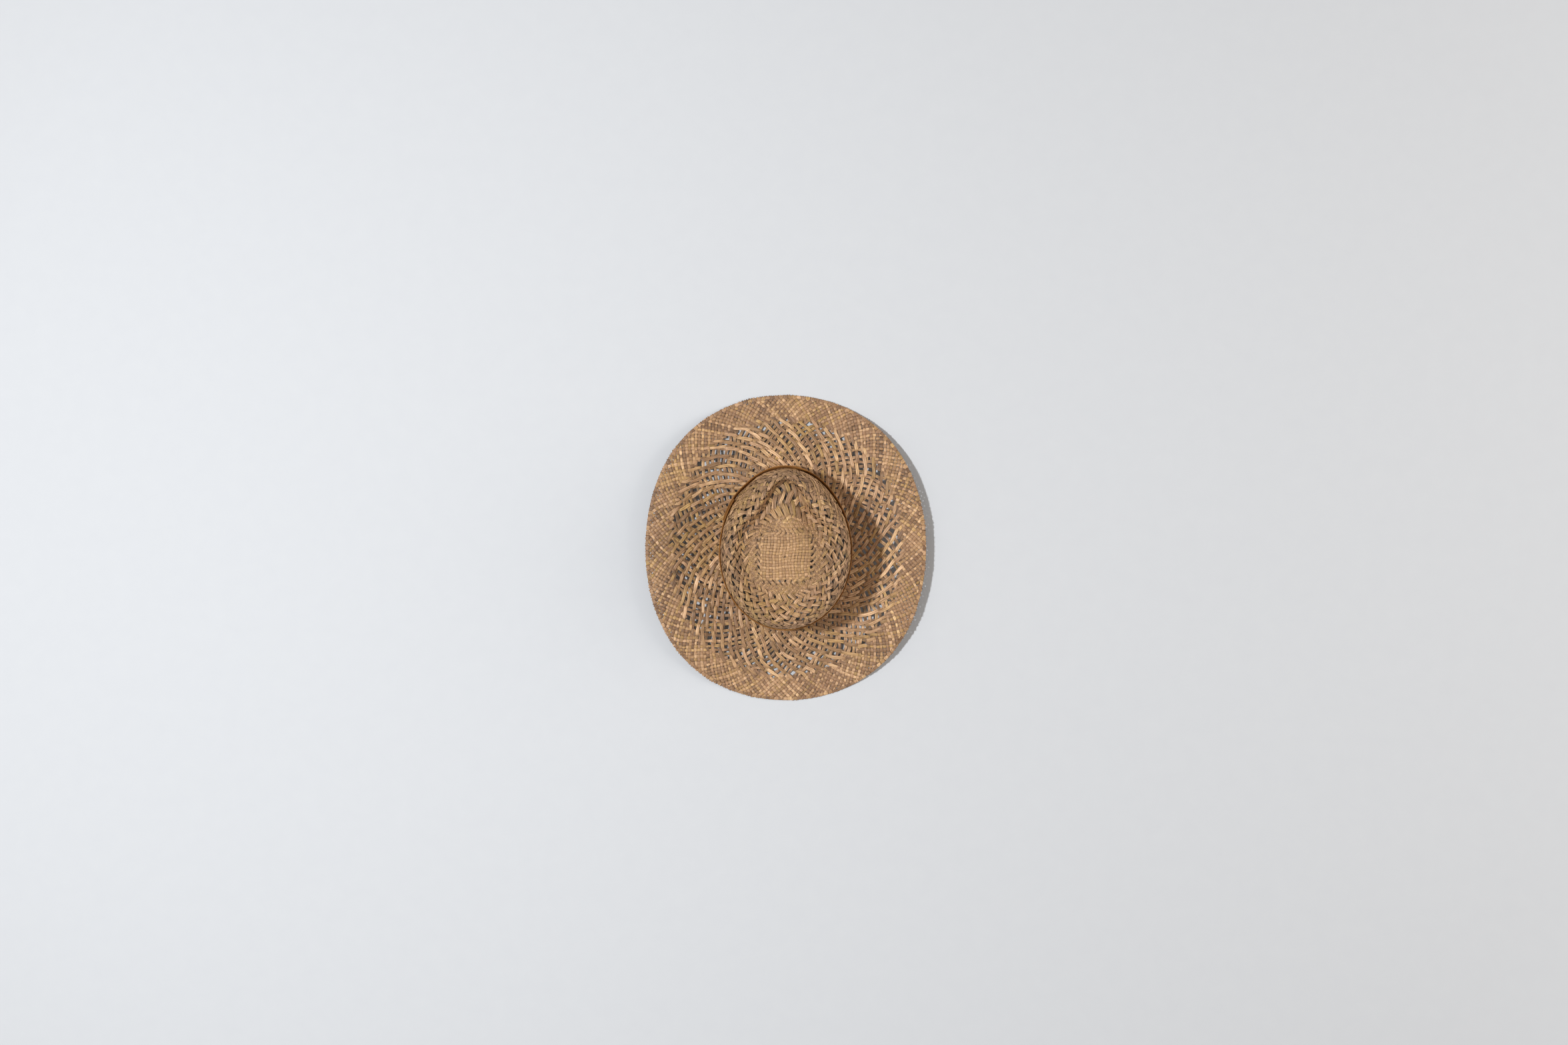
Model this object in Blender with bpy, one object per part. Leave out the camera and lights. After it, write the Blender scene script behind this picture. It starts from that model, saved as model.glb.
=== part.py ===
"""Wide-brimmed woven straw hat of panama shape, with a leather hat band and an inner sweatband.

Metres, +Z up, crown upwards. The wearer faces -Y. The origin is on the plane that the brim rests
on, under the middle of the brim. The straw body is one meridian curve, from the middle of the tip
over the ridge, down the wall, round the break and out to the edge, carried round the egg-shaped
head opening. Its shells are split where the weave changes.
"""

import math

import bmesh
import bpy
import numpy as np

# Straw body, plan sizes
BRIM_LENGTH = 0.407  # front edge to back edge
BRIM_WIDTH = 0.372  # side edge to side edge
FULLNESS_RATIO = 0.026  # how far the brim's outline stands outside an ellipse at its corners
BASE_LENGTH = 0.210  # head opening, outside of the straw
BASE_WIDTH = 0.168
NARROWING_RATIO = 0.05  # the head opening is narrower at the brow than at the nape

# Straw body, heights
BREAK_HEIGHT = 0.0095  # middle of the straw where crown turns into brim
SIDE_LIFT = 0.020  # how far the brim's sides curl up
FLAT_SPREAD_RATIO = 0.35  # share of the half width over which front and back rest flat
FLAT_START_RATIO = 0.84  # share of the brim's width after which it is level
CROWN_HEIGHT = 0.106  # break to ridge
CENTRE_DROP = 0.007  # ridge to the middle of the tip
BACK_DROP = 0.008  # ridge to the valley behind
FRONT_DROP = 0.020  # ridge to the valley at the front pinches
PINCH_DROP = 0.004  # how far a pinch lowers the ridge
SHOULDER = 0.015  # height of the rounding between wall and ridge
BREAK_RADIUS = 0.005

# Straw body, where the crease runs, as shares of the way from the tip's middle to the opening's outline
TIP_BACK = 0.010  # the middle of the tip lies behind the middle of the opening
VALLEY_RATIO = 0.66
RIDGE_RATIO = 0.84
SHOULDER_RATIO = 0.970
PINCH_RATIO = 0.14  # how far a pinch draws the ridge inwards
POINT_RATIO = 0.15  # the crease runs out to a point at the front
LEAN_RATIO = 0.020
BULGE_RATIO = 0.006
PINCH_ANGLE = math.radians(42)
PINCH_SPREAD = math.radians(24)

# Straw thicknesses and the seams between weaves
STRAW = 0.0022  # open weave
BORDER_STRAW = 0.0026  # tight weave of the border, where the strands are doubled
SEAM = 0.0003  # clearance between touching pieces
CENTRE_REACH = 0.034  # plain-woven middle of the tip, measured over the surface
RIDGE_MARGIN = 0.008  # how far the top weave goes past the ridge
BORDER_WIDTH = 0.031  # tight border with its turned edge
EDGE_WIDTH = 0.004  # turned edge

# Openings of the brim's open weave, a plain staggered grid that stands for its many small gaps
OPENING_ROWS = 3
OPENINGS_ROUND = 30
OPENING_WIDTH = 0.010  # round the brim
OPENING_LENGTH = 0.009  # across the brim

# Leather hat band outside, and its thread
BAND_HEIGHT = 0.015
BAND_THICKNESS = 0.0016
BAND_LIFT = 0.0008  # above the top of the break's rounding
LAP_LENGTH = 0.030
LAP_ANGLE = math.radians(-28)  # middle of the lap, at the wearer's left temple
THREAD = 0.0007
LAP_STITCHES = 3
LAP_STITCH = 0.0028
LAP_STITCH_PITCH = 0.0042
TACKS = 4
TACK = 0.0045

# Sweatband inside
SWEATBAND_HEIGHT = 0.032
SWEATBAND_THICKNESS = 0.0009
SWEATBAND_BASE = 0.001  # its lower edge above the break
REED_RADIUS = 0.0012
SEAM_TAPE_WIDTH = 0.014
SEAM_TAPE_THICKNESS = 0.0006
SEAM_TAPE_MARGIN = 0.003
THREAD_HEIGHT = 0.0035  # middle of the zigzag seam above the sweatband's lower edge
ZIGZAG = 0.0016

STEPS = 60  # divisions round the hat


def smooth(share):
    """Smooth step from 0 to 1."""
    share = np.clip(share, 0.0, 1.0)
    return share * share * (3 - 2 * share)


def base_outline(angle):
    """Plan of the head opening at the middle of the straw."""
    inset = STRAW / 2
    x = (BASE_WIDTH / 2 - inset) * np.cos(angle) * (1 + NARROWING_RATIO * np.sin(angle))
    y = (BASE_LENGTH / 2 - inset) * np.sin(angle)
    return np.stack([x, y], -1)


def edge_outline(angle):
    """Plan of the brim's edge."""
    full = 1 + FULLNESS_RATIO * np.sin(2 * angle) ** 2
    x = BRIM_WIDTH / 2 * np.cos(angle) * full
    y = BRIM_LENGTH / 2 * np.sin(angle) * full
    return np.stack([x, y], -1)


def edge_height(angle):
    """Middle of the brim's edge above the rest plane: flat at front and back, lifted at the sides."""
    lift = smooth((np.abs(np.cos(angle)) - FLAT_SPREAD_RATIO) / (1 - FLAT_SPREAD_RATIO))
    return BORDER_STRAW / 2 + SIDE_LIFT * lift


def meridian(angle):
    """Control points of the crown at each angle: their share of the way out, and height above the break."""
    from_front = np.abs(np.arctan2(np.cos(angle), -np.sin(angle)))
    front = np.clip(np.cos(from_front), 0, 1)
    point = front**10
    pinch = np.exp(-(((from_front - PINCH_ANGLE) / PINCH_SPREAD) ** 2))
    side = np.cos(angle) ** 2
    drop = BACK_DROP + (FRONT_DROP - BACK_DROP) * (smooth((1 + np.cos(from_front)) / 2) ** 2 - point / 2)
    ridge = CROWN_HEIGHT - PINCH_DROP * pinch
    still = np.ones_like(angle)
    share = [
        0 * still,
        0.5 * VALLEY_RATIO * still,
        VALLEY_RATIO - PINCH_RATIO / 2 * pinch + POINT_RATIO * point,
        RIDGE_RATIO - PINCH_RATIO * pinch + POINT_RATIO / 3 * point,
        SHOULDER_RATIO - 2 / 3 * PINCH_RATIO * pinch - LEAN_RATIO * point,
        1 + BULGE_RATIO * side - LEAN_RATIO * np.maximum(front**2, pinch),
        still,
        still,
    ]
    height = [
        (CROWN_HEIGHT - CENTRE_DROP) * still,
        (CROWN_HEIGHT - CENTRE_DROP - 0.1 * BACK_DROP) * still,
        CROWN_HEIGHT - drop,
        ridge,
        ridge - SHOULDER,
        CROWN_HEIGHT / 2 * still,
        (BREAK_RADIUS + BAND_HEIGHT) * still,
        BREAK_RADIUS * still,
    ]
    return np.stack(share, -1), np.stack(height, -1)


def measure_knots():
    """Length over the surface at each control point, taken on the mean radius."""
    share, height = meridian(np.array([0.0]))
    radius = (BASE_LENGTH + BASE_WIDTH) / 4
    steps = np.hypot(np.diff(share[0]) * radius, np.diff(height[0]))
    return np.concatenate([[0.0], np.cumsum(steps)])


KNOTS = measure_knots()
VALLEY, RIDGE, WALL_END = KNOTS[2], KNOTS[3], KNOTS[-1]
BREAK_END = WALL_END + BREAK_RADIUS * math.pi / 2
BRIM_MEAN = (BRIM_LENGTH + BRIM_WIDTH - BASE_LENGTH - BASE_WIDTH) / 4
EDGE_END = BREAK_END + BRIM_MEAN - BREAK_RADIUS


def crown_point(angle, length):
    """Points of the crown: a cubic through its control points, level at the tip, upright at the foot."""
    share, height = meridian(angle)
    points = np.stack([share, height], -1)
    slopes = np.empty_like(points)
    slopes[:, 1:-1] = (points[:, 2:] - points[:, :-2]) / (KNOTS[2:] - KNOTS[:-2])[None, :, None]
    slopes[:, 0] = np.stack([points[:, 1, 0] / KNOTS[1], 0 * angle], -1)
    slopes[:, -1] = (0.0, -1.0)
    first = np.clip(np.searchsorted(KNOTS, length, "right") - 1, 0, len(KNOTS) - 2)
    span = (KNOTS[first + 1] - KNOTS[first])[:, None]
    s = np.clip((length - KNOTS[first])[:, None] / span, 0, 1)
    row = np.arange(len(angle))
    here, there = points[row, first], points[row, first + 1]
    leave, arrive = slopes[row, first] * span, slopes[row, first + 1] * span
    found = (
        here * (2 * s**3 - 3 * s**2 + 1)
        + leave * (s**3 - 2 * s**2 + s)
        + there * (3 * s**2 - 2 * s**3)
        + arrive * (s**3 - s**2)
    )
    base, edge = base_outline(angle), edge_outline(angle)
    inside, outside = np.minimum(found[:, :1], 1), np.maximum(found[:, :1] - 1, 0)
    plan = base * inside + (edge - base) * outside + (1 - inside) * np.array([0, TIP_BACK])
    return np.column_stack([plan, found[:, 1] + BREAK_HEIGHT])


def brim_point(angle, length):
    """Points of the break's rounding and of the brim."""
    base, edge = base_outline(angle), edge_outline(angle)
    width = np.linalg.norm(edge - base, axis=-1)
    turn = np.clip((length - WALL_END) / BREAK_RADIUS, 0, math.pi / 2)
    along = np.clip((length - BREAK_END) / (EDGE_END - BREAK_END), 0, 1)
    out = BREAK_RADIUS * (1 - np.cos(turn)) + along * (width - BREAK_RADIUS)
    plan = base + (edge - base) * (out / width)[:, None]
    rounding = BREAK_RADIUS * (1 - np.sin(turn))
    fall = smooth(along / FLAT_START_RATIO) * (edge_height(angle) - BREAK_HEIGHT)
    return np.column_stack([plan, BREAK_HEIGHT + rounding + fall])


def straw_point(angle, length):
    """Point of the straw's middle surface, at an angle and at a length from the tip's middle."""
    angle, length = np.broadcast_arrays(np.asarray(angle, float), np.asarray(length, float))
    shape = angle.shape
    angle, length = angle.ravel(), length.ravel()
    on_crown = (length <= WALL_END)[:, None]
    points = np.where(on_crown, crown_point(angle, length), brim_point(angle, length))
    return points.reshape(*shape, 3)


def straw_normal(angle, length):
    """Unit normal of the middle surface, away from the head."""
    nudge = 1e-4
    low = np.maximum(np.asarray(length, float) - nudge, nudge)
    along = straw_point(angle, low + 2 * nudge) - straw_point(angle, low)
    across = straw_point(angle + nudge, low + nudge) - straw_point(angle - nudge, low + nudge)
    normal = np.cross(along, across)
    return normal / np.linalg.norm(normal, axis=-1, keepdims=True)


def wall_point(angle, height, offset):
    """Point beside the wall, at a height above the break and a distance outside the straw's middle."""
    height = np.broadcast_to(np.asarray(height, float), np.shape(angle))
    below = np.minimum(height - BREAK_RADIUS, 0)
    length = WALL_END - np.maximum(height - BREAK_RADIUS, 0)
    point = straw_point(angle, length) + straw_normal(angle, length) * offset
    point[..., 2] += below
    return point


def round_angles(count=STEPS):
    return np.arange(count) * 2 * math.pi / count


def paint(name, colour, roughness):
    """A plain finish."""
    material = bpy.data.materials.new(name)
    material.use_nodes = True
    shader = material.node_tree.nodes["Principled BSDF"]
    shader.inputs["Base Color"].default_value = (*colour, 1)
    shader.inputs["Roughness"].default_value = roughness
    shader.inputs["Metallic"].default_value = 0
    return material


def add_solid(name, points, faces, material):
    """One node from points and faces, with its faces turned outwards."""
    mesh = bpy.data.meshes.new(name)
    mesh.from_pydata([tuple(point) for point in points], [], faces)
    work = bmesh.new()
    work.from_mesh(mesh)
    bmesh.ops.recalc_face_normals(work, faces=work.faces)
    work.to_mesh(mesh)
    work.free()
    mesh.materials.append(material)
    mesh.shade_smooth()
    mesh.set_sharp_from_angle(angle=math.radians(40))
    solid = bpy.data.objects.new(name, mesh)
    bpy.context.scene.collection.objects.link(solid)
    return solid


def loop_faces(sections, corners, closed):
    """Faces that join each section to the next, all round both ways where the sections close."""
    faces = []
    for i in range(sections if closed else sections - 1):
        j = (i + 1) % sections
        for k in range(corners):
            m = (k + 1) % corners
            faces.append((i * corners + k, i * corners + m, j * corners + m, j * corners + k))
    return faces


def ring_solid(name, sections, material):
    """A closed ring through sections, an array of (section, corner, xyz)."""
    count, corners = sections.shape[:2]
    return add_solid(name, sections.reshape(-1, 3), loop_faces(count, corners, True), material)


def strap_solid(name, sections, material):
    """A strap with two ends through sections, an array of (section, corner, xyz)."""
    count, corners = sections.shape[:2]
    faces = loop_faces(count, corners, False)
    faces.append(tuple(range(corners)))
    faces.append(tuple(range((count - 1) * corners, count * corners)))
    return add_solid(name, sections.reshape(-1, 3), faces, material)


def straw_ring(name, lengths, thickness, material):
    """A ring of straw shell between the first and the last length."""
    angle = round_angles()[:, None]
    lengths = np.asarray(lengths)[None, :]
    middle, normal = straw_point(angle, lengths), straw_normal(angle, lengths)
    upright = (lengths >= BREAK_END)[..., None]
    normal = np.where(upright, (0.0, 0.0, 1.0), normal)
    outer, inner = middle + normal * thickness / 2, middle - normal * thickness / 2
    return ring_solid(name, np.concatenate([outer, inner[:, ::-1]], axis=1), material)


def openwork_lines(first, last):
    """Angles and lengths of the lines that bound the openings between two lengths of the brim."""
    pitch = 2 * math.pi / OPENINGS_ROUND
    middle = (BASE_LENGTH + BASE_WIDTH) / 4 + (first + last) / 2 - WALL_END
    half = OPENING_WIDTH / middle / 2
    sides = np.array([-half, half, pitch / 2 - half, pitch / 2 + half])
    places = np.arange(OPENINGS_ROUND)[:, None] * pitch + sides
    centres = first + (np.arange(OPENING_ROWS) + 0.5) * (last - first) / OPENING_ROWS
    bounds = (centres[:, None] + OPENING_LENGTH * np.array([-0.5, 0.5])).ravel()
    return places.ravel(), np.array([first, *bounds, last])


def openwork_ring(name, first, last, thickness, material):
    """A ring of brim shell with staggered rows of openings. Cells lie between neighbouring lines:
    every second row of cells, and every fourth cell in it, is open."""
    angles, lengths = openwork_lines(first, last)
    middle = straw_point(angles[:, None], lengths[None, :])
    rise = np.array([0, 0, thickness / 2])
    turns, rows = len(angles), len(lengths)
    points = np.concatenate([(middle + rise).reshape(-1, 3), (middle - rise).reshape(-1, 3)])

    def is_open(i, row):
        return row % 2 == 1 and i % 4 == (row // 2) % 2 * 2

    def corner(side, i, row):
        return side * turns * rows + i % turns * rows + row

    faces = []
    for i in range(turns):
        for row in range(rows - 1):
            if is_open(i, row):
                continue
            for side in (0, 1):
                ring = [(i, row), (i + 1, row), (i + 1, row + 1), (i, row + 1)]
                faces.append([corner(side, *place) for place in ring])
            beside = (
                ((i, row), (i + 1, row), row == 0 or is_open(i, row - 1)),
                ((i, row + 1), (i + 1, row + 1), row == rows - 2 or is_open(i, row + 1)),
                ((i, row), (i, row + 1), is_open((i - 1) % turns, row)),
                ((i + 1, row), (i + 1, row + 1), is_open((i + 1) % turns, row)),
            )
            for here, there, bare in beside:
                if bare:
                    faces.append([corner(0, *here), corner(0, *there), corner(1, *there), corner(1, *here)])
    return add_solid(name, points, faces, material)


def straw_cap(name, reach, rows, thickness, material):
    """The round middle of the tip."""
    angle = round_angles()
    rims = np.linspace(0, reach, rows + 1)[1:]
    points, faces = [], []
    for side in (1, -1):
        start = len(points)
        points.append(straw_point(0.0, 0.0) + np.array([0, 0, side * thickness / 2]))
        for rim in rims:
            normal = straw_normal(angle, rim)
            points.extend(straw_point(angle, rim) + normal * side * thickness / 2)
        for k in range(STEPS):
            m = (k + 1) % STEPS
            faces.append((start, start + 1 + k, start + 1 + m))
            for row in range(rows - 1):
                low, high = start + 1 + row * STEPS, start + 1 + (row + 1) * STEPS
                faces.append((low + k, high + k, high + m, low + m))
    top, bottom = 1 + (rows - 1) * STEPS, 2 + (2 * rows - 1) * STEPS
    for k in range(STEPS):
        m = (k + 1) % STEPS
        faces.append((top + k, bottom + k, bottom + m, top + m))
    return add_solid(name, points, faces, material)


def turned_edge(name, start, material):
    """The brim's turned edge, with a rounded nose that ends at the brim's outline."""
    angle = round_angles()[:, None]
    half = BORDER_STRAW / 2
    turns = np.linspace(math.pi / 2, -math.pi / 2, 5)
    lengths = np.concatenate([[start], EDGE_END - half + half * np.cos(turns), [start]])
    rise = np.concatenate([[half], half * np.sin(turns), [-half]])
    sections = straw_point(angle, lengths[None, :])
    sections[..., 2] += rise
    return ring_solid(name, sections, material)


def make_straw_body(straw, border):
    """The woven body: middle of the tip, top, wall, open brim, tight border and turned edge."""
    centre_end = min(CENTRE_REACH, 0.9 * VALLEY)
    top_end = RIDGE + RIDGE_MARGIN
    border_start = EDGE_END - BORDER_WIDTH
    edge_start = EDGE_END - EDGE_WIDTH
    flat_start = BREAK_END + FLAT_START_RATIO * (EDGE_END - BREAK_END)
    straw_cap("crown_centre", centre_end, 2, STRAW, straw)
    inside = np.linspace(centre_end + SEAM, VALLEY, 3)
    outside = np.linspace(VALLEY, RIDGE, 4)[1:]
    straw_ring("crown_top", [*inside, *outside, top_end], STRAW, straw)
    wall = np.linspace(top_end + SEAM, WALL_END, 7)
    rounding = WALL_END + BREAK_RADIUS * np.radians([30, 60])
    straw_ring("crown_side", [*wall, *rounding, BREAK_END], STRAW, straw)
    openwork_ring("brim_field", BREAK_END + SEAM, border_start, STRAW, straw)
    flat = max(flat_start, border_start + 2 * SEAM)
    straw_ring("brim_border", [border_start + SEAM, flat, edge_start], BORDER_STRAW, border)
    turned_edge("brim_edge", edge_start + SEAM, border)


def strap_sections(angle, heights, offset, thickness):
    """Sections of a strap on the wall: up its inner face, then down its outer face."""
    up = np.asarray(heights)[None, :]
    angle = np.asarray(angle)[:, None]
    offset = np.broadcast_to(np.asarray(offset, float)[..., None], angle.shape)
    shape = np.broadcast_shapes(angle.shape, up.shape)
    angle, up, offset = (np.broadcast_to(a, shape) for a in (angle, up, offset))
    inner = wall_point(angle, up, offset[..., None])
    outer = wall_point(angle, up, offset[..., None] + thickness)
    return np.concatenate([inner, outer[:, ::-1]], axis=1)


def angle_over(length, angle):
    """The angle that a length along the wall spans at this angle round the hat."""
    step = 1e-3
    return length * step / np.linalg.norm(base_outline(angle + step) - base_outline(angle))


def band_offset():
    """Inner face of the hat band, outside the straw's middle."""
    return STRAW / 2 + SEAM


def make_hat_band(leather):
    """The leather strap, which runs once round the crown and laps over its own end."""
    lap = angle_over(LAP_LENGTH, LAP_ANGLE)
    start = LAP_ANGLE - lap / 2
    full = start + 2 * math.pi
    around = np.linspace(start, full - lap, STEPS)
    over = np.linspace(full - lap, full + lap, 9)[1:]
    angle = np.concatenate([around, over])
    climb = smooth((angle - (full - lap)) / lap) * (BAND_THICKNESS + SEAM)
    foot = BREAK_RADIUS + BAND_LIFT
    sections = strap_sections(angle, [foot, foot + BAND_HEIGHT], band_offset() + climb, BAND_THICKNESS)
    strap_solid("hat_band", sections, leather)


def add_stitch(name, angle, height, offset, span, rise, material):
    """One stitch, a block that lies on a band's outer face."""
    reach = angle_over(span / 2, angle)
    points = []
    for turn in (-reach, reach):
        for up in (-rise / 2, rise / 2):
            for out in (0, THREAD):
                place = np.array([angle + turn])
                points.append(wall_point(place, height + up, offset + out)[0])
    faces = [(0, 1, 3, 2), (4, 6, 7, 5), (0, 4, 5, 1), (2, 3, 7, 6), (0, 2, 6, 4), (1, 5, 7, 3)]
    add_solid(name, points, faces, material)


def make_band_thread(pale, dark):
    """The pale stitches that close the lap, and the tacks that hold the band to the straw."""
    top = BREAK_RADIUS + BAND_LIFT + BAND_HEIGHT
    on_lap = band_offset() + 2 * (BAND_THICKNESS + SEAM)
    for k in range(LAP_STITCHES):
        along = (k - (LAP_STITCHES - 1) / 2) * LAP_STITCH_PITCH
        angle = LAP_ANGLE + angle_over(along, LAP_ANGLE)
        name = f"hat_band_stitch_{k + 1}"
        add_stitch(name, angle, top - BAND_HEIGHT / 2, on_lap, LAP_STITCH, THREAD, pale)
    on_band = band_offset() + BAND_THICKNESS + SEAM
    for k in range(TACKS):
        angle = LAP_ANGLE + (k + 0.5) * 2 * math.pi / TACKS
        add_stitch(f"hat_band_tack_{k + 1}", angle, top - TACK / 2 - THREAD, on_band, THREAD, TACK, dark)


def sweatband_face():
    """Inner face of the sweatband, as a distance outside the straw's middle."""
    return -STRAW / 2 - SEAM - SWEATBAND_THICKNESS


def make_sweatband(cloth, tape, thread):
    """The sweatband, the reed along its lower edge, the tape over its seam, and its zigzag thread."""
    foot, top = SWEATBAND_BASE, SWEATBAND_BASE + SWEATBAND_HEIGHT
    heights = [foot, BREAK_RADIUS, (BREAK_RADIUS + top) / 2, top]
    sections = strap_sections(round_angles(), heights, sweatband_face(), SWEATBAND_THICKNESS)
    ring_solid("sweatband", sections, cloth)

    turns = np.radians(np.arange(6) * 60)[None, :]
    middle = sweatband_face() + SWEATBAND_THICKNESS / 2
    low = foot - SEAM - REED_RADIUS
    out = (middle + REED_RADIUS * np.cos(turns))[..., None]
    angle = np.broadcast_to(round_angles()[:, None], (STEPS, 6))
    rise = np.broadcast_to(low + REED_RADIUS * np.sin(turns), (STEPS, 6))
    ring_solid("sweatband_reed", wall_point(angle, rise, out), thread)

    back = math.pi / 2
    reach = angle_over(SEAM_TAPE_WIDTH / 2, back)
    angles = np.linspace(back - reach, back + reach, 3)
    face = sweatband_face() - SEAM - SEAM_TAPE_THICKNESS
    low = foot + THREAD_HEIGHT + ZIGZAG + SEAM_TAPE_MARGIN
    heights = [low, (low + top) / 2, top - SEAM_TAPE_MARGIN]
    strap_solid("sweatband_seam_tape", strap_sections(angles, heights, face, SEAM_TAPE_THICKNESS), tape)

    angle = np.repeat(round_angles(2 * STEPS)[:, None], 4, axis=1)
    zigzag = foot + THREAD_HEIGHT + ZIGZAG * (np.arange(2 * STEPS) % 2 - 0.5)[:, None]
    rise = zigzag + THREAD / 2 * np.array([-1, 1, 1, -1])
    inside = sweatband_face() - SEAM - THREAD * np.array([0, 0, 1, 1])
    out = np.broadcast_to(inside, angle.shape)[..., None]
    ring_solid("sweatband_thread", wall_point(angle, rise, out), thread)


def build():
    for old in list(bpy.data.objects):
        bpy.data.objects.remove(old)
    straw = paint("straw", (0.48, 0.32, 0.17), 0.62)
    border = paint("straw_border", (0.42, 0.28, 0.16), 0.62)
    leather = paint("leather", (0.28, 0.12, 0.035), 0.5)
    pale = paint("pale_thread", (0.75, 0.72, 0.68), 0.8)
    dark = paint("brown_thread", (0.16, 0.08, 0.03), 0.8)
    cloth = paint("sweatband_cloth", (0.42, 0.33, 0.23), 0.9)
    tape = paint("seam_tape", (0.30, 0.22, 0.14), 0.85)
    make_straw_body(straw, border)
    make_hat_band(leather)
    make_band_thread(pale, dark)
    make_sweatband(cloth, tape, dark)


build()
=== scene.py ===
"""Looks of the woven straw hat: every strand of the weave, the leather band and the sweatband.

The strands are flat ribbons laid on the meridian surface that the CAD shells follow. They start as
a plain-woven patch on the tip and turn into two crossing spirals, which run on down the crown and
over the brim to its edge. The spirals weave in pairs on the crown's top and lie loosely over each
other on the wall and the brim, and the border is woven tight again.
"""

import math

import bpy
import numpy as np
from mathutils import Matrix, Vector


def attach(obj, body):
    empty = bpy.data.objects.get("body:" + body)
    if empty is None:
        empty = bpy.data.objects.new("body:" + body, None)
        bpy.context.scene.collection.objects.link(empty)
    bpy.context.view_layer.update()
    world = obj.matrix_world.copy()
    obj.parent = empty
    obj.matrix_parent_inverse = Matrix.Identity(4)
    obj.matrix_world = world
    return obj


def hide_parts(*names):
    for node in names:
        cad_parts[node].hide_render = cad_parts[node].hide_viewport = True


# The CAD model's driving dimensions, metres
BRIM_LENGTH = 0.407
BRIM_WIDTH = 0.372
FULLNESS_RATIO = 0.026
BASE_LENGTH = 0.210
BASE_WIDTH = 0.168
NARROWING_RATIO = 0.05
BREAK_HEIGHT = 0.0095
SIDE_LIFT = 0.020
FLAT_SPREAD_RATIO = 0.35
FLAT_START_RATIO = 0.84
CROWN_HEIGHT = 0.106
CENTRE_DROP = 0.007
BACK_DROP = 0.008
FRONT_DROP = 0.020
PINCH_DROP = 0.004
SHOULDER = 0.015
BREAK_RADIUS = 0.005
TIP_BACK = 0.010
VALLEY_RATIO = 0.66
RIDGE_RATIO = 0.84
SHOULDER_RATIO = 0.970
PINCH_RATIO = 0.14
POINT_RATIO = 0.15
LEAN_RATIO = 0.020
BULGE_RATIO = 0.006
PINCH_ANGLE = math.radians(42)
PINCH_SPREAD = math.radians(24)
STRAW = 0.0022
BORDER_STRAW = 0.0026
SEAM = 0.0003
BAND_HEIGHT = 0.015
BAND_THICKNESS = 0.0016
BAND_LIFT = 0.0008
BAND_FLARE = 0.0021
LAP_LENGTH = 0.030
LAP_ANGLE = math.radians(-28)
LAP_STITCHES = 3
LAP_STITCH = 0.0028
LAP_STITCH_PITCH = 0.0042
TACKS = 4
TACK = 0.0045
THREAD = 0.0007
SWEATBAND_HEIGHT = 0.032
SWEATBAND_THICKNESS = 0.0009
SWEATBAND_BASE = 0.001
REED_RADIUS = 0.0012
SEAM_TAPE_WIDTH = 0.014
SEAM_TAPE_THICKNESS = 0.0006
SEAM_TAPE_MARGIN = 0.003
THREAD_HEIGHT = 0.0035
ZIGZAG = 0.0016
STITCHES_ROUND = 60
SWEATBAND_TOP = SWEATBAND_BASE + SWEATBAND_HEIGHT
SWEATBAND_FACE = -STRAW / 2 - SEAM - SWEATBAND_THICKNESS

# The weave
LANES = 64  # strands of one spiral over the wall and the brim
PATCH_LANES = 16  # strands each way in the plain-woven patch
PATCH_PITCH_ACROSS = 0.0041
PATCH_PITCH_ALONG = 0.0037
PATCH_SWING = 0.0005
JOIN_ROW = 0.6  # where a patch strand has turned into its spiral
START = 0.0335  # woven length at the first crossing outside the patch
ZONES = (
    # rows, woven length where the zone ends, lanes crossed in a row
    (4, 0.047, 2),  # round the patch
    (6, 0.085, 2),  # top
    (1, 0.0915, 2),  # holes on the ridge
    (4, 0.1075, 1),  # shoulder
    (21, 0.2535, 1),  # wall and brim
    (1, 0.2605, 1),  # holes inside the border
    (10, 0.2900, 1 / 3),  # border
)
RING_ROWS = range(16, 28)  # rows of the wall that have a ring of flat strand
RING_WIDTH = 0.0035
BORDER_STRAND = 0.0041
EDGE_STRAND = 0.0062
RIBBON = 0.00058  # thickness of a strand
TOP_MIDDLE = 0.00193  # middle of a strand's upper face, measured round from its edge
RANDOM = np.random.default_rng(7)

# The photograph
FRAME_PIXELS = 2352
PIXEL = 0.000885  # metres at the brim
LENS, SENSOR = 50.0, 36.0
WARM = (1.0, 0.955, 0.90)  # colour of the shade
BACKDROP = (0.73, 0.74, 0.75, 1)
WORLD_STRENGTH = 0.28
FLOOR_REACH, FLOOR_GAP = 6.0, 0.0002
VIEW_CENTRE = (0.0022, -0.0336)  # what the middle of the photograph shows, at the brim


def smooth(share):
    """Smooth step from 0 to 1."""
    share = np.clip(share, 0.0, 1.0)
    return share * share * (3 - 2 * share)


def unit(vectors):
    """The vectors at length 1."""
    return vectors / np.linalg.norm(vectors, axis=-1, keepdims=True)


def circle(count):
    """Evenly spaced angles all the way round."""
    return np.arange(count) * math.tau / count


def waves(x, y, *terms):
    """A sum of waves, each given by its reach, its rates along x and along y, and its start."""
    return sum(reach * np.sin(a * x + b * y + start) for reach, a, b, start in terms)


def cubic(start, leave, end, arrive, s):
    """A curve from start to end that leaves and arrives with given slopes."""
    return (
        start * (2 * s**3 - 3 * s**2 + 1)
        + leave * (s**3 - 2 * s**2 + s)
        + end * (3 * s**2 - 2 * s**3)
        + arrive * (s**3 - s**2)
    )


# ---- the CAD model's surface


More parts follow.
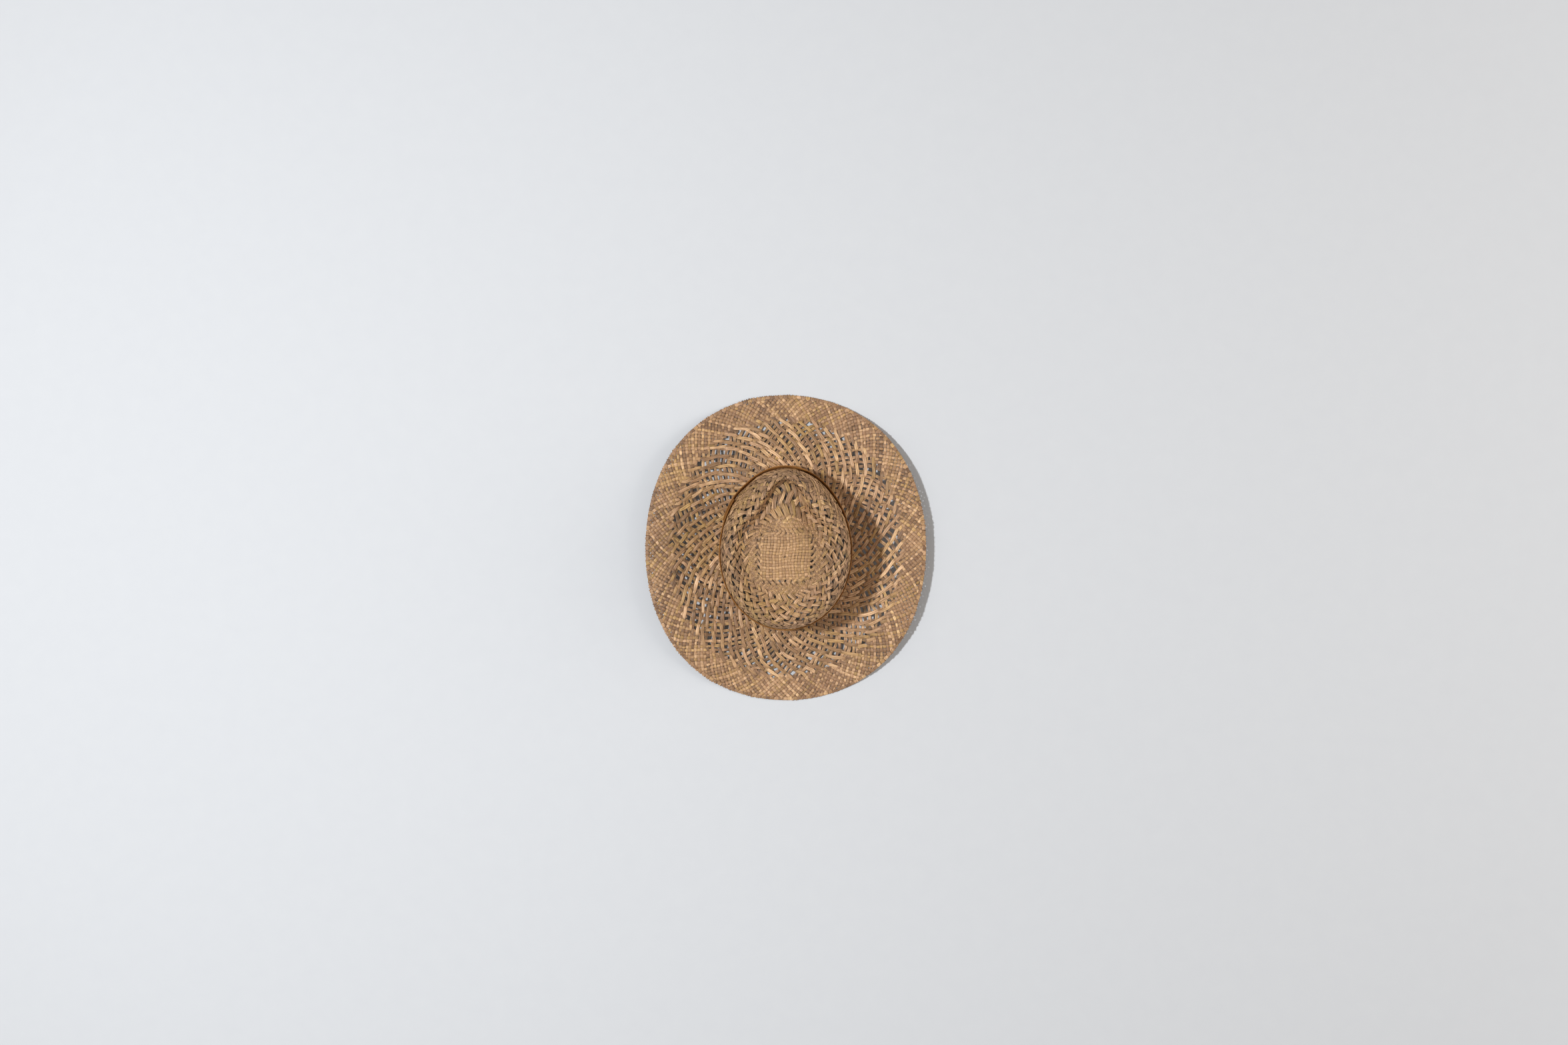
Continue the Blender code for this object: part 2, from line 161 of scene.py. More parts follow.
def base_outline(angle):
    """Plan of the head opening at the middle of the straw."""
    inset = STRAW / 2
    x = (BASE_WIDTH / 2 - inset) * np.cos(angle) * (1 + NARROWING_RATIO * np.sin(angle))
    y = (BASE_LENGTH / 2 - inset) * np.sin(angle)
    return np.stack([x, y], -1)


def edge_outline(angle):
    """Plan of the brim's edge."""
    full = 1 + FULLNESS_RATIO * np.sin(2 * angle) ** 2
    x = BRIM_WIDTH / 2 * np.cos(angle) * full
    y = BRIM_LENGTH / 2 * np.sin(angle) * full
    return np.stack([x, y], -1)


def edge_height(angle):
    """Middle of the brim's edge above the rest plane."""
    lift = smooth((np.abs(np.cos(angle)) - FLAT_SPREAD_RATIO) / (1 - FLAT_SPREAD_RATIO))
    return BORDER_STRAW / 2 + SIDE_LIFT * lift


def meridian(angle):
    """Control points of the crown at each angle: their share of the way out, and height."""
    from_front = np.abs(np.arctan2(np.cos(angle), -np.sin(angle)))
    front = np.clip(np.cos(from_front), 0, 1)
    point = front**10
    pinch = np.exp(-(((from_front - PINCH_ANGLE) / PINCH_SPREAD) ** 2))
    side = np.cos(angle) ** 2
    deeper = smooth((1 + np.cos(from_front)) / 2) ** 2 - point / 2
    drop = BACK_DROP + (FRONT_DROP - BACK_DROP) * deeper
    ridge = CROWN_HEIGHT - PINCH_DROP * pinch
    still = np.ones_like(angle)
    share = [
        0 * still,
        0.5 * VALLEY_RATIO * still,
        VALLEY_RATIO - PINCH_RATIO / 2 * pinch + POINT_RATIO * point,
        RIDGE_RATIO - PINCH_RATIO * pinch + POINT_RATIO / 3 * point,
        SHOULDER_RATIO - 2 / 3 * PINCH_RATIO * pinch - LEAN_RATIO * point,
        1 + BULGE_RATIO * side - LEAN_RATIO * np.maximum(front**2, pinch),
        still,
        still,
    ]
    height = [
        (CROWN_HEIGHT - CENTRE_DROP) * still,
        (CROWN_HEIGHT - CENTRE_DROP - 0.1 * BACK_DROP) * still,
        CROWN_HEIGHT - drop,
        ridge,
        ridge - SHOULDER,
        CROWN_HEIGHT / 2 * still,
        (BREAK_RADIUS + BAND_HEIGHT) * still,
        BREAK_RADIUS * still,
    ]
    return np.stack(share, -1), np.stack(height, -1)


def measure_knots():
    """Length over the surface at each control point, taken on the mean radius."""
    share, height = meridian(np.array([0.0]))
    radius = (BASE_LENGTH + BASE_WIDTH) / 4
    steps = np.hypot(np.diff(share[0]) * radius, np.diff(height[0]))
    return np.concatenate([[0.0], np.cumsum(steps)])


KNOTS = measure_knots()
WALL_END = KNOTS[-1]
BREAK_END = WALL_END + BREAK_RADIUS * math.pi / 2
BRIM_MEAN = (BRIM_LENGTH + BRIM_WIDTH - BASE_LENGTH - BASE_WIDTH) / 4
EDGE_END = BREAK_END + BRIM_MEAN - BREAK_RADIUS


def crown_point(angle, length):
    """Points of the crown: a cubic through its control points."""
    share, height = meridian(angle)
    points = np.stack([share, height], -1)
    slopes = np.empty_like(points)
    slopes[:, 1:-1] = (points[:, 2:] - points[:, :-2]) / (KNOTS[2:] - KNOTS[:-2])[None, :, None]
    slopes[:, 0] = np.stack([points[:, 1, 0] / KNOTS[1], 0 * angle], -1)
    slopes[:, -1] = (0.0, -1.0)
    first = np.clip(np.searchsorted(KNOTS, length, "right") - 1, 0, len(KNOTS) - 2)
    span = (KNOTS[first + 1] - KNOTS[first])[:, None]
    s = np.clip((length - KNOTS[first])[:, None] / span, 0, 1)
    row = np.arange(len(angle))
    here, there = points[row, first], points[row, first + 1]
    leave, arrive = slopes[row, first] * span, slopes[row, first + 1] * span
    found = cubic(here, leave, there, arrive, s)
    base, edge = base_outline(angle), edge_outline(angle)
    inside, outside = np.minimum(found[:, :1], 1), np.maximum(found[:, :1] - 1, 0)
    plan = base * inside + (edge - base) * outside + (1 - inside) * np.array([0, TIP_BACK])
    return np.column_stack([plan, found[:, 1] + BREAK_HEIGHT])


def brim_point(angle, length):
    """Points of the break's rounding and of the brim."""
    base, edge = base_outline(angle), edge_outline(angle)
    width = np.linalg.norm(edge - base, axis=-1)
    turn = np.clip((length - WALL_END) / BREAK_RADIUS, 0, math.pi / 2)
    along = np.clip((length - BREAK_END) / (EDGE_END - BREAK_END), 0, 1)
    out = BREAK_RADIUS * (1 - np.cos(turn)) + along * (width - BREAK_RADIUS)
    plan = base + (edge - base) * (out / width)[:, None]
    rounding = BREAK_RADIUS * (1 - np.sin(turn))
    fall = smooth(along / FLAT_START_RATIO) * (edge_height(angle) - BREAK_HEIGHT)
    return np.column_stack([plan, BREAK_HEIGHT + rounding + fall])


def straw_point(angle, length):
    """Point of the straw's middle surface, at an angle and at a length from the tip's middle."""
    angle, length = np.broadcast_arrays(np.asarray(angle, float), np.asarray(length, float))
    shape = angle.shape
    angle, length = angle.ravel(), length.ravel()
    on_crown = (length <= WALL_END)[:, None]
    points = np.where(on_crown, crown_point(angle, length), brim_point(angle, length))
    return points.reshape(*shape, 3)


def straw_normal(angle, length):
    """Unit normal of the middle surface, away from the head."""
    nudge = 1e-4
    low = np.clip(np.asarray(length, float) - nudge, nudge, EDGE_END - 3 * nudge)
    along = straw_point(angle, low + 2 * nudge) - straw_point(angle, low)
    across = straw_point(angle + nudge, low + nudge) - straw_point(angle - nudge, low + nudge)
    return unit(np.cross(along, across))


def wall_point(angle, height, offset):
    """Point beside the wall, at a height above the break and a distance outside the straw's middle."""
    angle, height, offset = np.broadcast_arrays(angle, height, offset)
    below = np.minimum(height - BREAK_RADIUS, 0)
    length = WALL_END - np.maximum(height - BREAK_RADIUS, 0)
    point = straw_point(angle, length) + straw_normal(angle, length) * offset[..., None]
    point[..., 2] += below
    return point


def angle_over(length, angle):
    """The angle that a length along the wall spans at this angle round the hat."""
    step = 1e-3
    return length * step / np.linalg.norm(base_outline(angle + step) - base_outline(angle))


# ---- mesh and material helpers


def in_scene(name, data):
    """A new object of this data, in the scene."""
    made = bpy.data.objects.new(name, data)
    bpy.context.scene.collection.objects.link(made)
    return made


def new_object(name, points, quads, others, material, along=None, tint=None, pack=None):
    """A mesh object from point and face arrays, with its UV maps and tint where they are given."""
    mesh = bpy.data.meshes.new(name)
    corners = np.concatenate([np.ravel(quads), *others]).astype(np.int32)
    sizes = np.array([4] * len(quads) + [len(f) for f in others], np.int32)
    starts = np.concatenate([[0], np.cumsum(sizes)[:-1]]).astype(np.int32)
    mesh.vertices.add(len(points))
    mesh.vertices.foreach_set("co", np.asarray(points, np.float32).ravel())
    mesh.loops.add(len(corners))
    mesh.loops.foreach_set("vertex_index", corners)
    mesh.polygons.add(len(sizes))
    mesh.polygons.foreach_set("loop_start", starts)
    mesh.update(calc_edges=True)
    mesh.validate()
    for layer_name, places in (("Along", along), ("OFBake", pack)):
        if places is not None:
            layer = mesh.uv_layers.new(name=layer_name)
            layer.uv.foreach_set("vector", np.asarray(places, np.float32).ravel())
    if tint is not None:
        colours = mesh.color_attributes.new("Tint", "FLOAT_COLOR", "POINT")
        shown = np.column_stack([tint, np.ones(len(tint))]).astype(np.float32)
        colours.data.foreach_set("color", shown.ravel())
    mesh.materials.append(material)
    mesh.shade_smooth()
    mesh.set_sharp_from_angle(angle=math.radians(42))
    return in_scene(name, mesh)


def stand_for(piece, slot, *nodes):
    """The piece takes the place of CAD nodes, which ride on the hat's one body."""
    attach(piece, "root")
    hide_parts(*nodes)
    return piece


def tube_faces(count, corners, closed):
    """Faces of a tube through so many rings of corners: its quads, and one face for an open end."""
    ring = np.arange(corners)
    i, k = np.arange(count if closed else count - 1)[:, None], ring[None, :]
    j, m = (i + 1) % count, (k + 1) % corners
    quads = np.stack([i * corners + k, j * corners + k, j * corners + m, i * corners + m], -1)
    return quads.reshape(-1, 4), [] if closed else [ring, ring[::-1] + (count - 1) * corners]


def loft(name, sections, closed, material):
    """A tube or strap through sections, an array of (section, corner, xyz)."""
    faces = tube_faces(*sections.shape[:2], closed)
    piece = new_object(name, sections.reshape(-1, 3), *faces, material)
    turn_outwards(piece)
    return piece


def turn_outwards(piece):
    """Flips the faces of a closed mesh if they look inwards."""
    mesh = piece.data
    mesh.calc_loop_triangles()
    a, b, c = (
        np.array([mesh.vertices[t.vertices[k]].co for t in mesh.loop_triangles]) for k in range(3)
    )
    if np.einsum("ij,ij->i", a, np.cross(b, c)).sum() < 0:
        mesh.flip_normals()


def shader(name):
    """A new material, its node tree, and its Principled node."""
    material = bpy.data.materials.new(name)
    material.use_nodes = True
    tree = material.node_tree
    return material, tree, tree.nodes["Principled BSDF"]


def plug(tree, value, slot):
    """Links a socket into an input, or sets the input to a value."""
    if hasattr(value, "is_linked"):
        tree.links.new(value, slot)
    else:
        slot.default_value = value


def node(tree, kind, inputs=None, **settings):
    """A new node. Its inputs are sockets or values by name or number."""
    made = tree.nodes.new("ShaderNode" + kind)
    for key, value in settings.items():
        setattr(made, key, value)
    for slot, value in (inputs or {}).items():
        plug(tree, value, made.inputs[slot])
    return made


def mix_colour(tree, share, first, second):
    """The first colour, or the second where the share is 1."""
    return node(tree, "Mix", {0: share, 6: first, 7: second}, data_type="RGBA").outputs[2]


def calculate(tree, operation, *values):
    """The result of a Math node."""
    return node(tree, "Math", dict(enumerate(values)), operation=operation).outputs[0]


def noise(tree, vector, scale, detail=3.0, roughness=0.55):
    """Cloudy noise."""
    inputs = {"Vector": vector, "Scale": scale, "Detail": detail, "Roughness": roughness}
    return node(tree, "TexNoise", inputs).outputs["Fac"]


def remap(tree, value, low, high, out_low=0.0, out_high=1.0):
    """A value's place between low and high, as a value between two others."""
    inputs = {"From Min": low, "From Max": high, "To Min": out_low, "To Max": out_high}
    return node(tree, "MapRange", {"Value": value, **inputs}).outputs["Result"]


def scaled(tree, vector, scale):
    """A vector times a scale for each axis."""
    return node(tree, "Mapping", {"Vector": vector, "Scale": scale}).outputs["Vector"]


def distance(tree, vector):
    """The length of a vector."""
    return node(tree, "VectorMath", {0: vector}, operation="LENGTH").outputs["Value"]


def object_place(tree):
    """Where a point lies on the hat, metres."""
    return node(tree, "TexCoord").outputs["Object"]


def paint(tree, principled, colour, roughness):
    """Gives the surface its colour and roughness."""
    plug(tree, colour, principled.inputs["Base Color"])
    plug(tree, roughness, principled.inputs["Roughness"])


def bump(tree, principled, height, strength, reach):
    """Fine relief of a height."""
    made = node(tree, "Bump", {"Strength": strength, "Distance": reach, "Height": height})
    plug(tree, made.outputs["Normal"], principled.inputs["Normal"])


# ---- materials


def openwork(tree):
    """1 where the weave is open, less on the tight tip and border, where the strands stay whole."""
    plan = scaled(tree, object_place(tree), (2 / BRIM_WIDTH, 2 / BRIM_LENGTH, 0.0))
    out = distance(tree, plan)
    past_tip = remap(tree, out, 0.20, 0.27, 0.15, 1.0)
    inside_border = remap(tree, out, 0.79, 0.83, 1.0, 0.2)
    return calculate(tree, "MINIMUM", past_tip, inside_border)


def split_line(tree, uv, from_middle):
    """1 on the crooked line along which a strand has begun to split, here and there."""
    lengthways = scaled(tree, uv, (24.0, 0.0, 1.0))
    bend = remap(tree, noise(tree, lengthways, 1.0, 1.0), 0.3, 0.7, -0.0006, 0.0006)
    off_split = calculate(tree, "ABSOLUTE", calculate(tree, "SUBTRACT", from_middle, bend))
    torn = remap(tree, noise(tree, lengthways, 1.7, 1.0), 0.42, 0.52, 0.0, 0.9)
    line = calculate(tree, "MULTIPLY", remap(tree, off_split, 0.00007, 0.00019, 1.0, 0.0), torn)
    return calculate(tree, "MULTIPLY", line, openwork(tree))


def straw_material():
    """Dried leaf strands: fibres along each strand, edges darker from browning and painted shade, and a
    tint of its own for each, whose lightness also carries painted shade and light.
    """
    material, tree, principled = shader("straw")
    uv = node(tree, "UVMap", uv_map="Along").outputs["UV"]
    fibres = noise(tree, scaled(tree, uv, (90.0, 1700.0, 1.0)), 1.0, 4.0, 0.6)
    blotches = noise(tree, scaled(tree, uv, (75.0, 110.0, 1.0)), 1.0, 2.0)
    tint = node(tree, "Attribute", attribute_name="Tint").outputs["Color"]
    parts = node(tree, "SeparateColor", {"Color": tint}).outputs
    # light is each strand's own lightness, with painted shade and light from where it dives or stands
    # clear, and painted shade on the crown's top
    gold, umber, light = parts["Red"], parts["Green"], parts["Blue"]
    tan, straw_gold, pale = (0.60, 0.345, 0.185, 1), (0.70, 0.430, 0.150, 1), (0.72, 0.49, 0.29, 1)
    grey_brown, stained, shade = (0.29, 0.166, 0.092, 1), (0.40, 0.20, 0.10, 1), (0.13, 0.054, 0.018, 1)
    across = node(tree, "SeparateXYZ", {"Vector": uv}).outputs["Y"]
    from_middle = calculate(tree, "SUBTRACT", across, TOP_MIDDLE)
    off_middle = calculate(tree, "ABSOLUTE", from_middle)
    split = split_line(tree, uv, from_middle)
    colour = mix_colour(tree, gold, tan, straw_gold)
    for share, second in (
        (remap(tree, light, 0.45, 1.0, 0.0, 0.6), pale),
        (umber, grey_brown),
        (remap(tree, blotches, 0.48, 0.78, 0.0, 0.65), stained),
        (remap(tree, fibres, 0.42, 0.72, 0.0, 0.60), shade),
        (split, shade),
        # painted shade along each strand's edges, with some real browning there
        (remap(tree, off_middle, TOP_MIDDLE * 0.72, TOP_MIDDLE, 0.0, 0.92), shade),
    ):
        colour = mix_colour(tree, share, colour, second)
    level = calculate(tree, "MULTIPLY_ADD", light, 0.80, 0.67)
    mottle = remap(tree, blotches, 0.25, 0.60, 1.16, 0.96)
    value = calculate(tree, "MULTIPLY", level, mottle)
    shown = node(tree, "HueSaturation", {"Color": colour, "Value": value}).outputs["Color"]
    paint(tree, principled, shown, remap(tree, fibres, 0.3, 0.7, 0.38, 0.60))
    principled.inputs["Specular IOR Level"].default_value = 0.4
    bump(tree, principled, calculate(tree, "SUBTRACT", fibres, split), 0.8, 0.00035)
    return material


def leather_material():
    """Smooth saddle leather with fine grain, wear and pores."""
    material, tree, principled = shader("band_leather")
    place = object_place(tree)
    grain = node(tree, "TexVoronoi", {"Vector": place, "Scale": 1400.0}).outputs["Distance"]
    wear, pores = noise(tree, place, 60.0, 4.0), noise(tree, place, 900.0)
    light, dark, deep = (0.44, 0.215, 0.062, 1), (0.34, 0.150, 0.040, 1), (0.16, 0.06, 0.016, 1)
    colour = mix_colour(tree, remap(tree, wear, 0.35, 0.7), light, dark)
    colour = mix_colour(tree, remap(tree, pores, 0.5, 0.8, 0.0, 0.5), colour, deep)
    paint(tree, principled, colour, remap(tree, wear, 0.3, 0.7, 0.40, 0.55))
    bump(tree, principled, calculate(tree, "ADD", grain, pores), 0.35, 0.00015)
    return material


def thread_material(name, pale, dark):
    """Twisted thread, with painted shade in the grooves of its twist."""
    material, tree, principled = shader(name)
    inputs = {"Vector": object_place(tree), "Scale": 900.0, "Distortion": 2.0, "Detail": 2.0}
    twist = node(tree, "TexWave", inputs).outputs["Fac"]
    # painted shade: the grooves of the twist are darker
    paint(tree, principled, mix_colour(tree, twist, dark, pale), 0.85)
    bump(tree, principled, twist, 0.6, 0.0002)
    return material


def ribbon_material(name, pale, dark, ribs):
    """Ribbed cotton ribbon: ribs up its height with painted shade in the grooves between them, and a
    little soiling.
    """
    material, tree, principled = shader(name)
    place = object_place(tree)
    apart = node(tree, "SeparateXYZ", {"Vector": place}).outputs
    around = calculate(tree, "ARCTAN2", apart["Y"], apart["X"])
    wave = calculate(tree, "SINE", calculate(tree, "MULTIPLY", around, ribs))
    ridge = remap(tree, wave, -1.0, 1.0)
    threads, soil = noise(tree, place, 1600.0), noise(tree, place, 35.0, 4.0)
    # painted shade: the grooves between the ribs are darker
    colour = mix_colour(tree, ridge, dark, pale)
    colour = mix_colour(tree, remap(tree, soil, 0.45, 0.75, 0.0, 0.35), colour, dark)
    colour = mix_colour(tree, remap(tree, threads, 0.4, 0.7, 0.0, 0.3), colour, dark)
    paint(tree, principled, colour, 0.9)
    bump(tree, principled, calculate(tree, "ADD", ridge, threads), 0.5, 0.00025)
    return material


# ---- the weave's layout


def zone_tables():
    """Woven length and lanes crossed against the row, eased where one zone meets the next."""
    rows, woven, lanes = [-3.0, 0.0], [START - 0.012, START], [-6.0, 0.0]
    for count, end, step in ZONES:
        rows.append(rows[-1] + count)
        woven.append(end)
        lanes.append(lanes[-1] + count * step)
    last = (woven[-1] - woven[-2]) / (rows[-1] - rows[-2])
    fine = np.arange(rows[0], rows[-1] + 4, 0.05)
    beyond = np.maximum(fine - rows[-1], 0)
    raw_woven = np.interp(fine, rows, woven) + beyond * last
    raw_lanes = np.interp(fine, rows, lanes) + beyond / 3
    window = np.ones(21) / 21
    eased = [np.convolve(np.pad(raw, 10, "edge"), window, "valid") for raw in (raw_woven, raw_lanes)]
    for k, raw in enumerate((raw_woven, raw_lanes)):
        eased[k][:10], eased[k][-10:] = raw[:10], raw[-10:]
    return fine, eased[0], eased[1], rows[-2]


ROWS, WOVEN, CROSSED, BORDER_ROW = zone_tables()
LAST_ROW = float(np.interp(EDGE_END - 0.0011, WOVEN, ROWS))

# Along the woven length: width of a spiral strand, how far it swings up and down, whether it lies
# over (1) or weaves (0), how close it lies to its pair, and how far twisted doubles lie apart
ALONG = np.array(
    [
        # mm, mm, 0.01 mm, share, share of a lane, mm
        (30, 4.0, 52, 0, 0.50, 0),
        (36, 3.9, 52, 0, 0.14, 0),
        (45, 3.2, 56, 0, 0.02, 0),
        (50, 3.6, 70, 0, 0.17, 0),
        (83, 4.1, 74, 0, 0.25, 0),
        (89, 3.9, 62, 0, 0.35, 0),
        (93, 5.3, 54, 0, 0, 0),
        (107, 5.3, 54, 0, 0, 0),
        (112, 4.0, 70, 1, 0, 0.8),
        (190, 4.0, 70, 1, 0, 0.9),
        (202, 4.1, 76, 1, 0, 1.20),
        (252, 4.0, 76, 1, 0, 1.45),
        (258, 3.7, 66, 0.9, 0, 0.9),
        (264, 3.6, 56, 0, 0, 0),
        (292, 3.4, 52, 0, 0, 0),
    ]
)
AT, WIDTHS, SWINGS, OPEN, PAIRING, DOUBLED = (ALONG / (1000, 1000, 100000, 1, 1, 1000)).T
PAIR_LIFT = 0.00016  # how far one strand of a pair lies over the other
DOUBLE_WIDTH = 0.0044


def sample(table, angle, place, step):
    """Bilinear value of a table over angles round the hat and evenly stepped places."""
    turn = np.mod(angle, math.tau) / (math.tau) * len(table)
    i, k = np.floor(turn).astype(int) % len(table), np.clip(place / step, 0, table.shape[1] - 1.001)
    j, m = (i + 1) % len(table), np.floor(k).astype(int)
    f, g = turn - np.floor(turn), k - m
    near = table[i, m] * (1 - g) + table[i, m + 1] * g
    far = table[j, m] * (1 - g) + table[j, m + 1] * g
    return near * (1 - f) + far * f


ROUND = circle(720)
STEP = 0.0005


def tip_table():
    """Length on the surface at each angle and plan distance from the tip's middle."""
    lengths = np.arange(0, 0.110, STEP)
    distances = np.arange(0, 0.080, STEP)
    table = []
    for angle in ROUND:
        point = straw_point(np.full(len(lengths), angle), lengths)
        away = np.hypot(point[:, 0], point[:, 1] - TIP_BACK)
        table.append(np.interp(distances, np.maximum.accumulate(away), lengths))
    return np.array(table)


TIP_TABLE = tip_table()


def facing(angle):
    """Direction of an angle's meridian in plan, seen from the tip's middle."""
    outline = base_outline(angle) - np.array([0, TIP_BACK])
    return np.arctan2(outline[..., 1], outline[..., 0])


def length_table():
    """Length on the surface at each angle and woven length, and how stretched the weave is there.
    Rows start round the patch, a rounded rectangle in plan, and end up along the CAD rows."""
    woven = np.arange(0, EDGE_END + STEP, STEP)[None, :]
    angle = ROUND[:, None] + 0 * woven
    way = facing(angle)
    square = (np.abs(np.cos(way)) / 0.0350) ** 4 + (np.abs(np.sin(way)) / 0.0320) ** 4
    boxed = 1 + (square**-0.25 / START - 1) * (1 - smooth((woven - START) / 0.028))
    by_plan = sample(TIP_TABLE, angle, woven * boxed, STEP)
    settled = smooth((woven - 0.034) / 0.045)
    lengths = by_plan * (1 - settled) + woven * settled
    run = np.linalg.norm(np.diff(straw_point(angle, lengths), axis=1), axis=2) / STEP
    window = np.ones(9) / 9
    stretch = np.array([np.convolve(np.pad(row, 5, "edge")[:-1], window, "valid") for row in run])
    return lengths, np.clip(stretch, 0.8, 1.5)


LENGTHS, STRETCH = length_table()


def unevenness(angle, woven):
    """Hand-made irregularity, the same for every strand that passes a place: lanes and metres."""
    slow = (0.0007, 3, 40, 0), (0.0006, 8, -70, 1.3)
    quick = (0.0006, 19, -90, 2.2), (0.0005, 41, -250, 0.7)
    sway = waves(angle, woven, (0.14, 5, 41, 0.4), (0.10, 11, -73, 2.0), (0.05, 29, -60, 4.1))
    return sway, waves(angle, woven, *slow, *quick)


def woven_place(lane, row, own=0.0):
    """Angle, length on the surface and stretch at a place in the weave, by lane and row."""
    woven = np.interp(row, ROWS, WOVEN)
    angle = math.tau / LANES * lane
    fade = smooth((woven - 0.034) / 0.02) * (1 - 0.6 * smooth((woven - 0.255) / 0.01))
    sway, drift = unevenness(angle, woven)
    angle = angle + math.tau / LANES * (sway + own) * fade
    place = woven + drift * fade
    length = np.minimum(sample(LENGTHS, angle, place, STEP), EDGE_END - 0.0004)
    return angle, length, sample(STRETCH, angle, place, STEP)


def settle(centre):
    """Pulls the tip's weave about by a millimetre or two, as the hands that made it left it."""
    x, y = centre[:, 0], centre[:, 1] - TIP_BACK
    fade = 1 - smooth((np.hypot(x, y) - 0.025) / 0.045)
    moved = centre.copy()
    apart = np.exp(-((np.hypot(x, y) / 0.0036) ** 2)) * 0.0008 / np.maximum(np.hypot(x, y), 0.001)
    moved[:, 0] += apart * x
    moved[:, 1] += apart * y
    moved[:, 0] += fade * waves(x, y, (0.0010, 0, 85, 0.5), (0.0006, 70, 170, 1))
    moved[:, 1] += fade * waves(x, y, (0.0014, 62, 0, 0.6), (0.0006, 150, -90, 0))
    return moved


def wander(count, reach, period=40.0):
    """A slow random wander along a strand of so many steps."""
    place = np.arange(count)
    total = np.zeros(count)
    for _ in range(3):
        length = period * RANDOM.uniform(0.5, 1.6)
        total += np.sin(place * math.tau / length + RANDOM.uniform(0, 6.3))
    return total * reach


TWISTS = RANDOM.uniform(-2.5, 2.5, LANES)  # where each twisted pair of strands starts its turn
TWIST_RATES = RANDOM.uniform(0.30, 0.70, LANES)  # half turns in a row
TIP_TINT = np.array([0.35, 0.06, 0.31])  # the strands are more alike on the tip
TIP_SHARE = 0.55  # how much of their own tint they lose there
PAINTED_DIVE_SHADE = 0.68  # painted shade and light: how much darker a strand is painted where it dives, and lighter where it stands clear
PAINTED_TOP_SHADE = 0.22  # painted shade: how much darker the crown's top is painted


